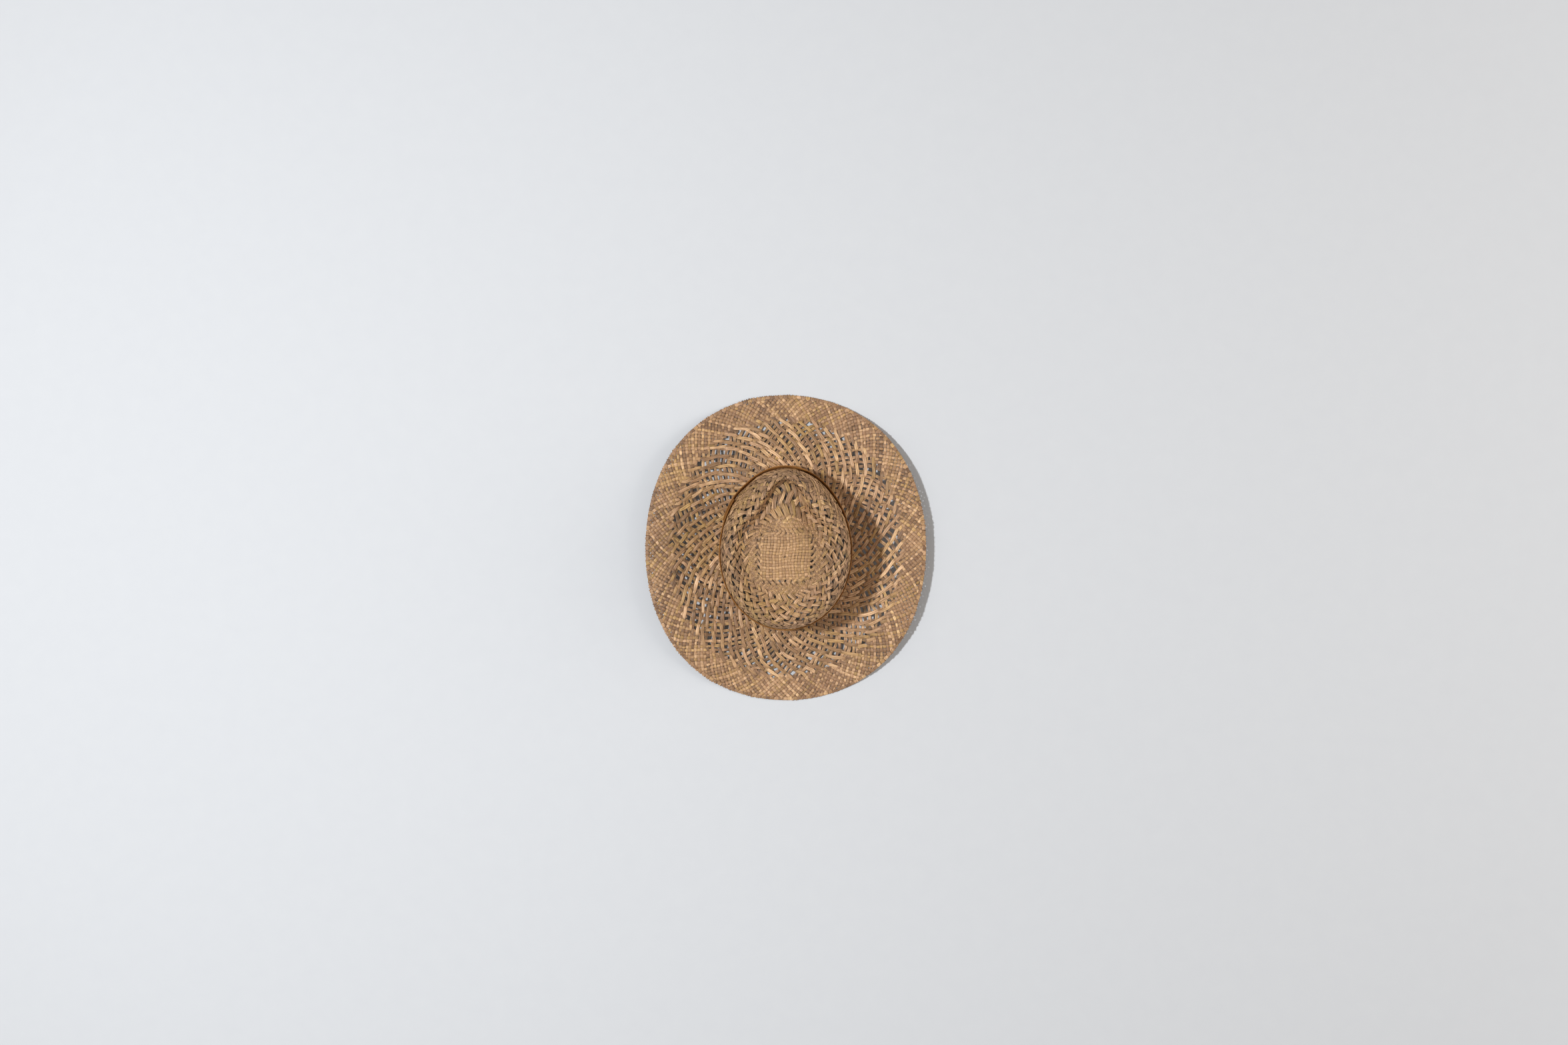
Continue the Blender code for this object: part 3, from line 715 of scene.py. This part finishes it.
class Weave:
    """Collects flat strands and makes one mesh of them."""

    across = np.array([-0.5, -0.39, 0.0, 0.39, 0.5, 0.3, -0.3])
    up = np.array([-0.05, 0.42, 0.34, 0.48, -0.05, -0.45, -0.45])

    def __init__(self):
        self.points, self.quads, self.ends, self.along, self.tints, self.first = [], [], [], [], [], 0
        self.placed = []

    def add(self, centre, normal, width, tint, lit=0.75, closed=False, roll=None, thickness=RIBBON):
        """Adds one strand through centre points. Its tint is (gold, umber, light). lit is how far
        it stands clear of the others: painted shade darkens it where it dives, painted light lifts it
        where it is raised."""
        count, corners = len(centre), len(self.across)
        centre = settle(centre)
        ahead = np.roll(centre, -1, 0) - np.roll(centre, 1, 0)
        if not closed:
            ahead[0], ahead[-1] = centre[1] - centre[0], centre[-1] - centre[-2]
        ahead = unit(ahead)
        side = unit(np.cross(normal, ahead))
        rise = np.cross(ahead, side)
        if roll is not None:
            turn = roll[:, None]
            side, rise = (
                side * np.cos(turn) + rise * np.sin(turn),
                rise * np.cos(turn) - side * np.sin(turn),
            )
        width = np.broadcast_to(width, count)
        flat = side[:, None] * (self.across * width[:, None])[..., None]
        high = rise[:, None] * (self.up * thickness)[None, :, None]
        self.points.append((centre[:, None] + flat + high).reshape(-1, 3))
        quads, ends = tube_faces(count, corners, closed)
        self.quads.append(quads + self.first)
        self.ends += [end + self.first for end in ends]
        run = np.linalg.norm(np.diff(centre, axis=0, append=centre[:1]), axis=1)
        run = run if closed else run[:-1]
        start = np.concatenate([[0], np.cumsum(run)[:-1]])
        self.placed.append((start, run, RANDOM.uniform(0, 50)))
        out = np.hypot(centre[:, 0], centre[:, 1] - TIP_BACK)
        own = 1 - TIP_SHARE * (1 - smooth((out - 0.020) / 0.045)[:, None])
        shown = np.array(tint) * own + TIP_TINT * (1 - own)
        # painted shade and light: lightness falls where the strand dives under others and rises where it
        # stands clear
        shown[:, 2] += PAINTED_DIVE_SHADE * (np.broadcast_to(lit, count) - 0.75)
        # painted shade: the crown's top is painted darker
        shown[:, 2] -= PAINTED_TOP_SHADE * smooth((out - 0.030) / 0.012) * smooth((centre[:, 2] - 0.078) / 0.015)
        self.tints.append(np.repeat(shown, corners, 0))
        self.first += count * corners

    def maps(self):
        """Both UV maps of the quads: metres along and across a strand, and the bake's rows."""
        corners = len(self.across)
        round_edge = np.concatenate([[0], np.cumsum(np.hypot(
            np.diff(np.append(self.across, self.across[0])) * 0.0035,
            np.diff(np.append(self.up, self.up[0])) * RIBBON,
        ))])
        low, high = round_edge[:-1], round_edge[1:]
        total = sum(run.sum() for _, run, _ in self.placed)
        tall = round_edge[-1] * 1.12
        lines = max(1, math.ceil(math.sqrt(total / tall)))
        line = total / lines * 1.002 + 0.004
        along, pack, done = [], [], 0.0
        for start, run, offset in self.placed:
            u0, u1 = np.repeat(start, corners), np.repeat(start + run, corners)
            v0, v1 = np.tile(low, len(start)), np.tile(high, len(start))
            us = np.stack([u0, u1, u1, u0], -1)
            vs = np.stack([v0, v0, v1, v1], -1)
            along.append(np.stack([us + offset, vs], -1).reshape(-1, 2))
            at = np.floor((done + start) / line)
            place = np.repeat(done + start - at * line, corners)
            us = np.stack([place, place + u1 - u0, place + u1 - u0, place], -1)
            vs = vs + np.repeat(at, corners)[:, None] * tall
            pack.append(np.stack([us / (line + 0.004), vs / (tall * lines)], -1).reshape(-1, 2))
            done += (start + run)[-1]
        extra = sum(len(end) for end in self.ends)
        along.append(np.zeros((extra, 2)))
        pack.append(np.full((extra, 2), 0.0005) + RANDOM.uniform(0, 0.0005, (extra, 2)))
        return np.concatenate(along), np.concatenate(pack)

    def make(self, name, material):
        """One mesh object of all the strands."""
        along, pack = self.maps()
        return new_object(
            name,
            np.concatenate(self.points),
            np.concatenate(self.quads),
            self.ends,
            material,
            along=along,
            tint=np.concatenate(self.tints),
            pack=pack,
        )


# ---- strands


def plan_to_surface(plan):
    """Points and normals of the tip's surface above or below points of the plan near its middle."""
    table = np.linspace(0, math.tau, 1441)
    ways = np.unwrap(facing(table))
    away = plan - np.array([0, TIP_BACK])
    wanted = np.mod(np.arctan2(away[:, 1], away[:, 0]) - ways[0], math.tau) + ways[0]
    angle = np.interp(wanted, ways, table)
    length = sample(TIP_TABLE, angle, np.linalg.norm(away, axis=1), STEP)
    point, normal = straw_point(angle, length), straw_normal(angle, np.maximum(length, 0.002))
    point[:, :2] = plan
    normal[length < 0.002] = (0, 0, 1)
    return point, normal


def kinks(rows, reach):
    """Straight runs between small random bends, a row or two apart."""
    bends = np.arange(rows[0] - 1, rows[-1] + 3, 1.3) + RANDOM.uniform(-0.3, 0.3)
    return np.interp(rows, bends, RANDOM.normal(0, reach, len(bends)))


def raised(height):
    """How far a strand stands clear of the strands that cross it, 0 to 1."""
    return np.clip(0.55 + 0.75 * height, 0, 1)


def twining(rows, lane):
    """How far to the side, and how high, one strand of a twisted pair lies: -1 to 1."""
    twist = math.pi * TWIST_RATES[lane % LANES] * rows + TWISTS[lane % LANES]
    return np.arcsin(0.97 * np.sin(twist)) * 0.75, np.clip(3 * np.cos(twist), -1, 1)


def spiral(lane, turn, rows, own=0.0, pair=0.0, under=0.0, double=0, shift=0.0):
    """Points, normals, widths and rise of a spiral strand. turn is +1 or -1, the way it winds going
    out. pair is +1 or -1 for the two strands of a pair. double is +1 or -1 for the two that twist
    round each other where the weave is open. shift is how many lanes the strand gives way on the
    wall to one that joins it."""
    woven = np.interp(rows, ROWS, WOVEN)
    crossed = np.interp(rows, ROWS, CROSSED)
    apart = np.interp(woven, AT, DOUBLED)
    place = lane + 0.5 + pair * np.interp(woven, AT, PAIRING) + turn * crossed / 2
    place = place + shift * smooth((rows - 24) / 4)
    gate = smooth((woven - 0.045) / 0.01) * (1 - 0.75 * smooth((woven - 0.256) / 0.008))
    own = own + kinks(rows, 0.07) * gate
    gather = RANDOM.normal(0, 0.08)
    if turn < 0:
        gather += np.interp(np.mod(lane + shift, 2), [0, 2 / 3, 4 / 3, 2], [0, -0.20, -0.10, 0])
    own = own + gather * np.exp(-(((woven - 0.2555) / 0.006) ** 2))
    angle, length, stretch = woven_place(place, rows, own)
    swing, over = np.interp(woven, AT, SWINGS), np.interp(woven, AT, OPEN)
    dip = 0.12 if turn > 0 else 0.40
    lying = 1 - dip + dip * np.cos(math.tau * rows)
    phase = np.where(rows < 4.5, 2 * rows, np.maximum(rows, 5) + 4)
    in_pairs = smooth(rows - 4) * smooth(11.5 - rows)
    plain = np.clip(np.cos(math.pi * phase) * (1 + 0.9 * in_pairs), -1, 1)
    height = turn * swing * (over * lying - (1 - over) * plain) - under + pair * PAIR_LIFT * in_pairs
    lit = raised(height / swing)
    twined = np.minimum(apart / 0.0008, 1)
    if turn > 0:
        side_step, turned = twining(rows, int(lane))
        height = height * (1 - twined) + (swing * turned * double - under) * twined
        lit = lit * (1 - twined) + raised(turned * double) * twined
    else:
        lit = lit * (1 - twined) + (0.5 - 0.5 * np.cos(math.tau * rows)) * twined
        height = height + twined * (0.25 * swing + 0.15 * swing * np.cos(math.tau * rows))
    normal = straw_normal(angle, length)
    point = straw_point(angle, length) + normal * height[:, None]
    width = np.interp(woven, AT, WIDTHS) * (1 + 0.4 * (stretch - 1) * (woven < 0.086))
    if double:
        side = np.cross(normal, unit(np.gradient(point, axis=0)))
        point = point + side * (double * apart * side_step)[:, None]
        width = width + (DOUBLE_WIDTH - width) * np.minimum(apart / 0.001, 1)
    return point, normal, width, lit


def row_steps(first, last, step=0.0016):
    """Rows at which a spiral strand has a section, spaced evenly along it."""
    rows = np.arange(first, last, 0.02)
    woven = np.interp(rows, ROWS, WOVEN)
    radius = np.where(woven > 0.085, 0.088 + np.maximum(woven - 0.190, 0), 0.010 + woven * 0.98)
    sideways = np.gradient(np.interp(rows, ROWS, CROSSED), rows) / 2 * math.tau / LANES * radius
    run = np.concatenate([[0], np.cumsum(np.hypot(np.diff(woven), sideways[1:] * 0.02))])
    return np.interp(np.linspace(0, run[-1], max(4, int(run[-1] / step))), run, rows)


def tint_of(zone):
    """A strand's own tint: how golden, how grey-brown, how light."""
    gold = RANDOM.beta(0.8, 1.3)
    umber = {"body": RANDOM.beta(0.8, 4.2), "border": RANDOM.beta(0.8, 0.8)}[zone]
    light = {"body": RANDOM.normal(0.46, 0.30), "border": RANDOM.normal(0.42, 0.26)}[zone]
    return gold * (1 - umber), umber, np.clip(light, 0, 1)


def patch_arm(side, lane):
    """Half of a patch strand, from the patch's middle line out to where its spiral starts, and its
    spiral out to the edge. side is 0 to 3 for +X, +Y, -X, -Y; lane counts round the hat."""
    out = np.array([(1, 0), (0, 1), (-1, 0), (0, -1)][side], float)
    turn_left = np.array([-out[1], out[0]])
    across, along = (PATCH_PITCH_ALONG, PATCH_PITCH_ACROSS)[:: 1 if side % 2 == 0 else -1]
    half = (PATCH_LANES - 1) / 2
    sideways = (lane - half) * across
    turn = 1 if lane % 2 == 0 else -1
    steps = np.arange(0, half * along, 0.0014)
    plan = out * steps[:, None] + turn_left * sideways + np.array([0, TIP_BACK])
    crossing = half + steps / along  # counted from the far side of the patch
    height = turn * PATCH_SWING * np.cos(math.pi * (crossing - PATCH_LANES + 1))
    pair_lane = 16 * side - 8 + 2 * (lane // 2)
    rows = row_steps(JOIN_ROW, LAST_ROW)
    own = wander(len(rows), 0.05, period=50)
    point, normal, width, lit = spiral(pair_lane, turn, rows, own=own, pair=1.0, double=int(turn > 0))
    first, start = point[0, :2], plan[-1]
    ahead = unit(point[1, :2] - first)
    gap = np.linalg.norm(first - start)
    t = np.linspace(0, 1, max(5, int(gap / 0.0014)))[1:-1, None]
    bend = cubic(start, out * gap, first, ahead * gap, t)
    bend_height = turn * PATCH_SWING * np.cos(math.pi * (2 * JOIN_ROW + 1) * t[:, 0])
    plan = np.concatenate([plan, bend])
    height = np.concatenate([height, bend_height])
    lit = np.concatenate([raised(height / PATCH_SWING), lit])
    inner, inner_normal = plan_to_surface(plan)
    inner = inner + inner_normal * height[:, None]
    points = np.concatenate([inner, point])
    normals = np.concatenate([inner_normal, normal])
    widths = np.concatenate([np.full(len(inner), across * 0.91), width])
    ease = np.clip(np.arange(len(widths)) - len(inner) + 8, 0, 16) / 16
    widths = widths[0] * (1 - ease) + widths * ease
    return points, normals, widths, lit


def patch_strands(lengthwise):
    """The strands that cross the patch one way, each one running out to the edge at both ends."""
    weave = Weave()
    for lane in range(PATCH_LANES):
        near, far = (1, 3) if lengthwise else (0, 2)
        arms = zip(patch_arm(near, lane), patch_arm(far, PATCH_LANES - 1 - lane))
        points, normals, widths, lit = (np.concatenate([a[::-1], b[1:]]) for a, b in arms)
        widths = widths * (1 + wander(len(widths), 0.07, period=16))
        roll = wander(len(widths), 0.10, period=14)
        weave.add(points, normals, widths, tint_of("body"), lit, roll=roll)
    return weave


def lay(weave, lane, turn, rows, under, sway=(0.05, 50), swell=0.07, roll=(0.12, 14), **share):
    """Lays a loose spiral strand over these rows. sway and roll are a wander's reach and period."""
    own = wander(len(rows), *sway)
    point, normal, width, lit = spiral(lane, turn, rows, own=own, under=under, **share)
    if swell:
        width = width * (1 + wander(len(width), swell, 16))
    weave.add(point, normal, width, tint_of("body"), lit, roll=wander(len(rows), *roll))


def added_strands(turn):
    """The strands that join the first ones on the top of the crown, one for each pair."""
    weave = Weave()
    share = {"double": 1} if turn > 0 else {"shift": -1 / 3}
    for lane in range(1, LANES, 2):
        rows = row_steps(RANDOM.uniform(0.8, 1.3), LAST_ROW)
        under = 0.0006 * (1 - smooth((rows - 1.0) / 0.8))
        lay(weave, lane, turn, rows, under, pair=-1.0, **share)
    return weave


def double_strands():
    """The strands that twist round the outer spiral's, from under the shoulder to under the border,
    and the brim's added strands of the inner spiral, one for each two."""
    weave = Weave()
    for lane in range(0, LANES, 2):
        rows = row_steps(25.5 + RANDOM.uniform(0, 1), LAST_ROW)
        under = 0.0003 * (1 - smooth((rows - 27) / 1.2))
        lay(weave, lane + 4 / 3, -1, rows, under, swell=0)
    for lane in range(LANES):
        rows = row_steps(13.5 + RANDOM.uniform(0, 1), BORDER_ROW + 1 + RANDOM.uniform(0, 1.5))
        under = 0.0005 * (1 - smooth((rows - 14.5) / 1.2) * (1 - smooth((rows - 35.8) / 1.2)))
        lay(weave, lane, 1, rows, under, sway=(0.06, 45), roll=(0.15, 12), double=-1)
    return weave


def border_strands(turn):
    """The strands that are added for the tight border, two between each two that run on."""
    weave = Weave()
    for lane in range(0, LANES, 2):
        for third in (1, 2, 4, 5) if turn > 0 else (1, 3, 5):
            rows = row_steps(BORDER_ROW - RANDOM.uniform(0.1, 0.9), LAST_ROW, 0.0015)
            point, normal, _, lit = spiral(lane + third / 3, turn, rows)
            wide = BORDER_STRAND * RANDOM.uniform(0.80, 1.08)
            weave.add(point, normal, wide, tint_of("border"), lit, roll=wander(len(rows), 0.07))
    return weave


def slack(angle, reach, *counts):
    """Waves all the way round a ring, so many to each round, with random starts."""
    return waves(angle, 0, *[(reach, count, 0, RANDOM.uniform(0, 6.3)) for count in counts])


def ring_strands():
    """The rings that pass between the two spirals where the wall's weave is open."""
    weave = Weave()
    for row in RING_ROWS:
        woven = np.interp(row, ROWS, WOVEN)
        count = int(math.tau * (0.10 + max(woven - 0.190, 0)) / 0.0017)
        lane = np.linspace(0, LANES, count, endpoint=False)
        angle, length, _ = woven_place(lane, np.full(count, float(row)))
        length = length + slack(angle, 0.00020, 7, 13, 23, 31)
        normal = straw_normal(angle, length)
        crossing = 0.5 + np.interp(row, ROWS, CROSSED) / 2
        between = 0.5 - 0.5 * np.cos(math.tau * (lane - crossing))
        point = straw_point(angle, length) + normal * (0.00050 * between)[:, None]
        width = RING_WIDTH * (1 + slack(angle, 0.05, 5, 11, 17, 29, 47))
        weave.add(point, normal, width, tint_of("body"), between, closed=True)
    return weave


def edge_strands():
    """The strands turned back round the brim's edge, side by side over the edge's nose."""
    weave = Weave()
    turns = 3 * LANES
    for k in range(turns):
        share = np.linspace(0, 1, 14)
        angle = np.full(len(share), math.tau / turns * (k + RANDOM.uniform(-0.08, 0.08)))
        nose = np.sin(math.pi * share) ** 0.8
        length = EDGE_END - 0.0044 + 0.0036 * nose
        up = straw_normal(angle, length)
        out = unit(straw_point(angle, length + 1e-4) - straw_point(angle, length - 1e-4))
        over = math.pi * share[:, None]
        point = straw_point(angle, length) + up * 0.00072 * np.cos(over)
        weave.add(point, up * np.cos(over) + out * np.sin(over), EDGE_STRAND, tint_of("border"))
    return weave


def make_straw():
    """The weave's pieces, each for the CAD nodes that its strands run through."""
    straw = straw_material()
    body = ("crown_centre", "crown_top", "crown_side", "brim_field")
    rim = ("brim_border", "brim_edge")
    for name, strands, which, slot, nodes in (
        ("lengthwise", patch_strands, [True], "straw", body + rim),
        ("crosswise", patch_strands, [False], "straw", body + rim),
        ("added_left", added_strands, [1], "straw", body[1:] + rim),
        ("added_right", added_strands, [-1], "straw", body[1:] + rim),
        ("doubles", double_strands, [], "straw", body[2:] + rim),
        ("rings", ring_strands, [], "straw", body[1:]),
        ("border_left", border_strands, [1], "straw_border", rim[:1]),
        ("border_right", border_strands, [-1], "straw_border", rim[:1]),
        ("edge", edge_strands, [], "straw_border", rim[1:]),
    ):
        stand_for(strands(*which).make("straw_" + name, straw), slot, *nodes)


# ---- leather band


def band_profile():
    """Height and depth of the band's section: two plies with a groove between them on each edge,
    and a crease along each edge of the face."""
    tall, thick = BAND_HEIGHT, BAND_THICKNESS
    face = [
        (0.0000, 0.62),
        (0.0003, 0.90),
        (0.0009, 1.00),
        (0.0017, 1.00),
        (0.0020, 0.84),
        (0.0023, 1.00),
    ]
    low = [(0.0004, 0.50)] + face
    outer = [(h, d * thick) for h, d in low]
    outer += [(tall / 2, thick * 1.06)]
    outer += [(tall - h, d * thick) for h, d in reversed(low)]
    inner = [(tall - 0.0001, 0.30 * thick), (tall - 0.0006, 0.0), (0.0006, 0.0), (0.0001, 0.30 * thick)]
    return np.array(outer + inner)


def band_flare(height):
    """How far the band stands off the straw at a height above the break: its top leans outwards."""
    return BAND_FLARE * np.clip((height - BREAK_RADIUS) / BAND_HEIGHT, 0, 1.1) ** 2


def make_band():
    """The strap, once round the crown and lapped over its own end."""
    leather = leather_material()
    lap = angle_over(LAP_LENGTH, LAP_ANGLE)
    start = LAP_ANGLE - lap / 2
    full = start + math.tau
    single, doubled = np.linspace(start, full - lap, 220), np.linspace(full - lap, full + lap, 40)
    angle = np.concatenate([single, doubled[1:]])[:, None]
    climb = smooth((angle - (full - lap)) / lap) * (BAND_THICKNESS + SEAM)
    height, depth = band_profile().T[:, None]
    height = height + BREAK_RADIUS + BAND_LIFT
    offset = STRAW / 2 + SEAM + climb + depth + band_flare(height)
    band = loft("band_strap", wall_point(angle, height, offset), False, leather)
    stand_for(band, "band_leather", "hat_band")


def stitch(name, angle, height, offset, span, rise, material):
    """One stitch: a short thread that dips into the leather at both ends."""
    share = np.linspace(-1, 1, 13)
    at = angle + angle_over(span / 2, angle) * share
    up = height + rise / 2 * share
    rounding = np.sqrt(1 - share**2)
    bulge = THREAD * (0.60 + 0.45 * rounding) + band_flare(up)
    radius = THREAD / 2 * (0.55 + 0.5 * rounding)
    turns = circle(10)
    centre = wall_point(at, up, offset + bulge - THREAD / 2)
    outward = unit(wall_point(at, up, offset + bulge + THREAD) - centre)
    side = np.cross(unit(np.gradient(centre, axis=0)), outward)
    ring = outward[:, None] * np.cos(turns)[None, :, None] + side[:, None] * np.sin(turns)[None, :, None]
    return loft(name, centre[:, None] + ring * radius[:, None, None], False, material)


def make_band_thread(pale, brown):
    """The stitches that close the lap and the tacks that hold the band to the straw."""
    top = BREAK_RADIUS + BAND_LIFT + BAND_HEIGHT
    on_lap = STRAW / 2 + 3 * SEAM + 2 * BAND_THICKNESS
    for k in range(LAP_STITCHES):
        along = (k - (LAP_STITCHES - 1) / 2) * LAP_STITCH_PITCH
        angle = LAP_ANGLE + angle_over(along, LAP_ANGLE)
        name = f"band_lap_stitch_{k + 1}"
        piece = stitch(name, angle, top - BAND_HEIGHT / 2, on_lap, LAP_STITCH, 0.0004, pale)
        stand_for(piece, "pale_thread", f"hat_band_stitch_{k + 1}")
    on_band = STRAW / 2 + 2 * SEAM + BAND_THICKNESS
    for k in range(TACKS):
        angle = LAP_ANGLE + (k + 0.5) * math.tau / TACKS
        height = top - TACK / 2 - THREAD
        piece = stitch(f"band_tack_{k + 1}", angle, height, on_band, 0.0002, TACK, brown)
        stand_for(piece, "brown_thread", f"hat_band_tack_{k + 1}")


# ---- sweatband


def make_ribbon(cloth):
    """The sweatband's ribbon, with its sewn fold at the foot."""
    fold = SWEATBAND_BASE + THREAD_HEIGHT
    # height, and depth as a share of the thickness
    profile = [
        (SWEATBAND_BASE + 0.0003, 0.00),
        (fold - 0.0006, 0.02),
        (fold, 0.22),
        (fold + 0.0008, 0.04),
        (SWEATBAND_BASE + 0.012, -0.04),
        (SWEATBAND_BASE + 0.022, -0.02),
        (SWEATBAND_TOP - 0.0012, 0.00),
        (SWEATBAND_TOP - 0.0003, 0.15),
        (SWEATBAND_TOP, 0.50),
        (SWEATBAND_TOP - 0.0003, 0.85),
        (SWEATBAND_TOP - 0.0012, 1.00),
        (SWEATBAND_BASE + 0.0003, 1.00),
        (SWEATBAND_BASE, 0.50),
    ]
    height, depth = np.array(profile).T[:, None]
    angle = circle(240)[:, None]
    pucker = 0.00012 * np.sin(angle * STITCHES_ROUND) * (depth < 0.3) * (height < 0.01)
    offset = SWEATBAND_FACE + depth * SWEATBAND_THICKNESS - pucker
    band = loft("sweatband_ribbon", wall_point(angle, height, offset), True, cloth)
    stand_for(band, "sweatband", "sweatband")


def make_piping(cloth):
    """The covered reed along the sweatband's lower edge."""
    angle, turns = circle(240)[:, None], circle(14)
    middle = SWEATBAND_FACE + SWEATBAND_THICKNESS / 2
    low = SWEATBAND_BASE - SEAM - REED_RADIUS
    cord = REED_RADIUS * (1 + 0.05 * np.sin(angle * 90))
    sections = wall_point(angle, low + cord * np.sin(turns), middle + cord * np.cos(turns))
    stand_for(loft("sweatband_piping", sections, True, cloth), "brown_thread", "sweatband_reed")


def make_tape(tape):
    """The tape over the ribbon's own seam, at the back of the head."""
    back = math.pi / 2
    reach = angle_over(SEAM_TAPE_WIDTH / 2, back)
    bottom = SWEATBAND_BASE + THREAD_HEIGHT + ZIGZAG + SEAM_TAPE_MARGIN
    top = SWEATBAND_TOP - SEAM_TAPE_MARGIN
    share = np.linspace(-1, 1, 15)[:, None]
    height = np.array([bottom, bottom + 0.0004, top - 0.0004, top, top, bottom])
    depth = np.array([0.6, 0, 0, 0.6, 1, 1])
    thin = 1 - 0.5 * np.abs(share) ** 12
    offset = SWEATBAND_FACE - SEAM - SEAM_TAPE_THICKNESS * (1 - depth) * thin
    sections = wall_point(back + reach * share, height, offset)
    stand_for(loft("sweatband_tape", sections, False, tape), "seam_tape", "sweatband_seam_tape")


def make_zigzag(brown):
    """The seam that holds the sweatband to the straw."""
    angle, turns = circle(8 * STITCHES_ROUND)[:, None], circle(7)
    wave = np.arcsin(0.96 * np.sin(angle * STITCHES_ROUND)) / math.pi * 2
    height = SWEATBAND_BASE + THREAD_HEIGHT + ZIGZAG / 2 * wave
    radius = THREAD * 0.42
    inside = SWEATBAND_FACE - SEAM - THREAD / 2 + 0.0002
    sections = wall_point(angle, height + radius * np.sin(turns), inside + radius * np.cos(turns))
    stand_for(loft("sweatband_zigzag", sections, True, brown), "brown_thread", "sweatband_thread")


def make_sweatband(brown):
    """The sewn band inside the head opening."""
    cloth = ribbon_material("sweatband_ribbon", (0.47, 0.37, 0.25, 1), (0.30, 0.22, 0.14, 1), 640.0)
    tape = ribbon_material("seam_tape", (0.33, 0.25, 0.16, 1), (0.20, 0.14, 0.085, 1), 900.0)
    make_ribbon(cloth)
    make_piping(cloth)
    make_tape(tape)
    make_zigzag(brown)


# ---- stage


def add_area(name, place, target, size, watts, colour):
    """A round area lamp that faces its target."""
    lamp = bpy.data.lights.new(name, "AREA")
    lamp.shape = "DISK"
    lamp.size, lamp.energy, lamp.color = size, watts, colour
    made = in_scene(name, lamp)
    made.location = place
    made.rotation_euler = (Vector(target) - Vector(place)).to_track_quat("-Z", "Y").to_euler()


def with_backdrop(tree, output, first, kind, share=1.0):
    """Shows the plain backdrop in place of the first shader for what the camera sees, by itself or
    in a reflection, and leaves the light on the hat alone."""
    path = node(tree, "LightPath").outputs
    mirrored = calculate(tree, "MAXIMUM", path["Is Glossy Ray"], path["Is Transmission Ray"])
    seen = calculate(tree, "MAXIMUM", path["Is Camera Ray"], mirrored)
    backdrop = node(tree, kind, {"Color": BACKDROP, "Strength": 1.0}).outputs[0]
    inputs = {0: calculate(tree, "MULTIPLY", seen, share), 1: first, 2: backdrop}
    plug(tree, node(tree, "MixShader", inputs).outputs[0], tree.nodes[output].inputs["Surface"])


def make_world():
    """Dim warm light from all round, behind a pale backdrop."""
    world = bpy.data.worlds.new("studio")
    world.use_nodes = True
    tree = world.node_tree
    around = tree.nodes["Background"]
    around.inputs["Color"].default_value = (*WARM, 1)
    around.inputs["Strength"].default_value = WORLD_STRENGTH
    with_backdrop(tree, "World Output", around.outputs[0], "Background")
    return world


def floor_material():
    """Pale plaster that turns into the backdrop far from the hat."""
    material, tree, principled = shader("floor")
    place = object_place(tree)
    plaster = noise(tree, place, 40.0, 5.0)
    colour = mix_colour(tree, plaster, (0.76, 0.775, 0.805, 1), (0.79, 0.805, 0.83, 1))
    paint(tree, principled, colour, 0.9)
    away = remap(tree, distance(tree, place), 1.1, 2.6)
    with_backdrop(tree, "Material Output", principled.outputs[0], "Emission", away)
    return material


def make_stage():
    """A pale floor, the light from the wearer's left, and the camera."""
    scene = bpy.context.scene
    mesh = bpy.data.meshes.new("floor")
    corners = [(x * FLOOR_REACH, y * FLOOR_REACH, 0) for x, y in ((-1, -1), (1, -1), (1, 1), (-1, 1))]
    mesh.from_pydata(corners, [], [(0, 1, 2, 3)])
    mesh.materials.append(floor_material())
    floor = in_scene("floor", mesh)
    floor.location.z = -FLOOR_GAP

    add_area("key", (1.50, -0.15, 2.90), (0, 0, 0.03), 0.20, 70, (0.937, 0.970, 1.0))
    add_area("fill", (-2.60, -0.20, 1.30), (0, 0, 0), 2.4, 27, WARM)
    scene.world = make_world()
    scene.view_settings.view_transform = "Standard"

    camera_data = bpy.data.cameras.new("camera")
    camera_data.lens, camera_data.sensor_width = LENS, SENSOR
    camera_data.clip_start, camera_data.clip_end = 0.05, 50
    camera = in_scene("camera", camera_data)
    camera.location = (*VIEW_CENTRE, BREAK_HEIGHT + FRAME_PIXELS * PIXEL * LENS / SENSOR)
    camera.rotation_euler = (0, 0, math.pi)
    scene.camera = camera


# ---- the scene

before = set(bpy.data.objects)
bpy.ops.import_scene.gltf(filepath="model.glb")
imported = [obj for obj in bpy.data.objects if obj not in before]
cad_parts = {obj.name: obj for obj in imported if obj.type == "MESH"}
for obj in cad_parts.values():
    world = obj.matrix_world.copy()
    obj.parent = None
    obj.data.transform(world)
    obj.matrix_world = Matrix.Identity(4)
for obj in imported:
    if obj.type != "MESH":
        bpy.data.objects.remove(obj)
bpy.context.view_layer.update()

make_straw()
make_band()
white_thread = thread_material("pale_thread", (0.82, 0.80, 0.77, 1), (0.55, 0.53, 0.50, 1))
brown_thread = thread_material("brown_thread", (0.20, 0.10, 0.04, 1), (0.10, 0.05, 0.02, 1))
make_band_thread(white_thread, brown_thread)
make_sweatband(brown_thread)
make_stage()
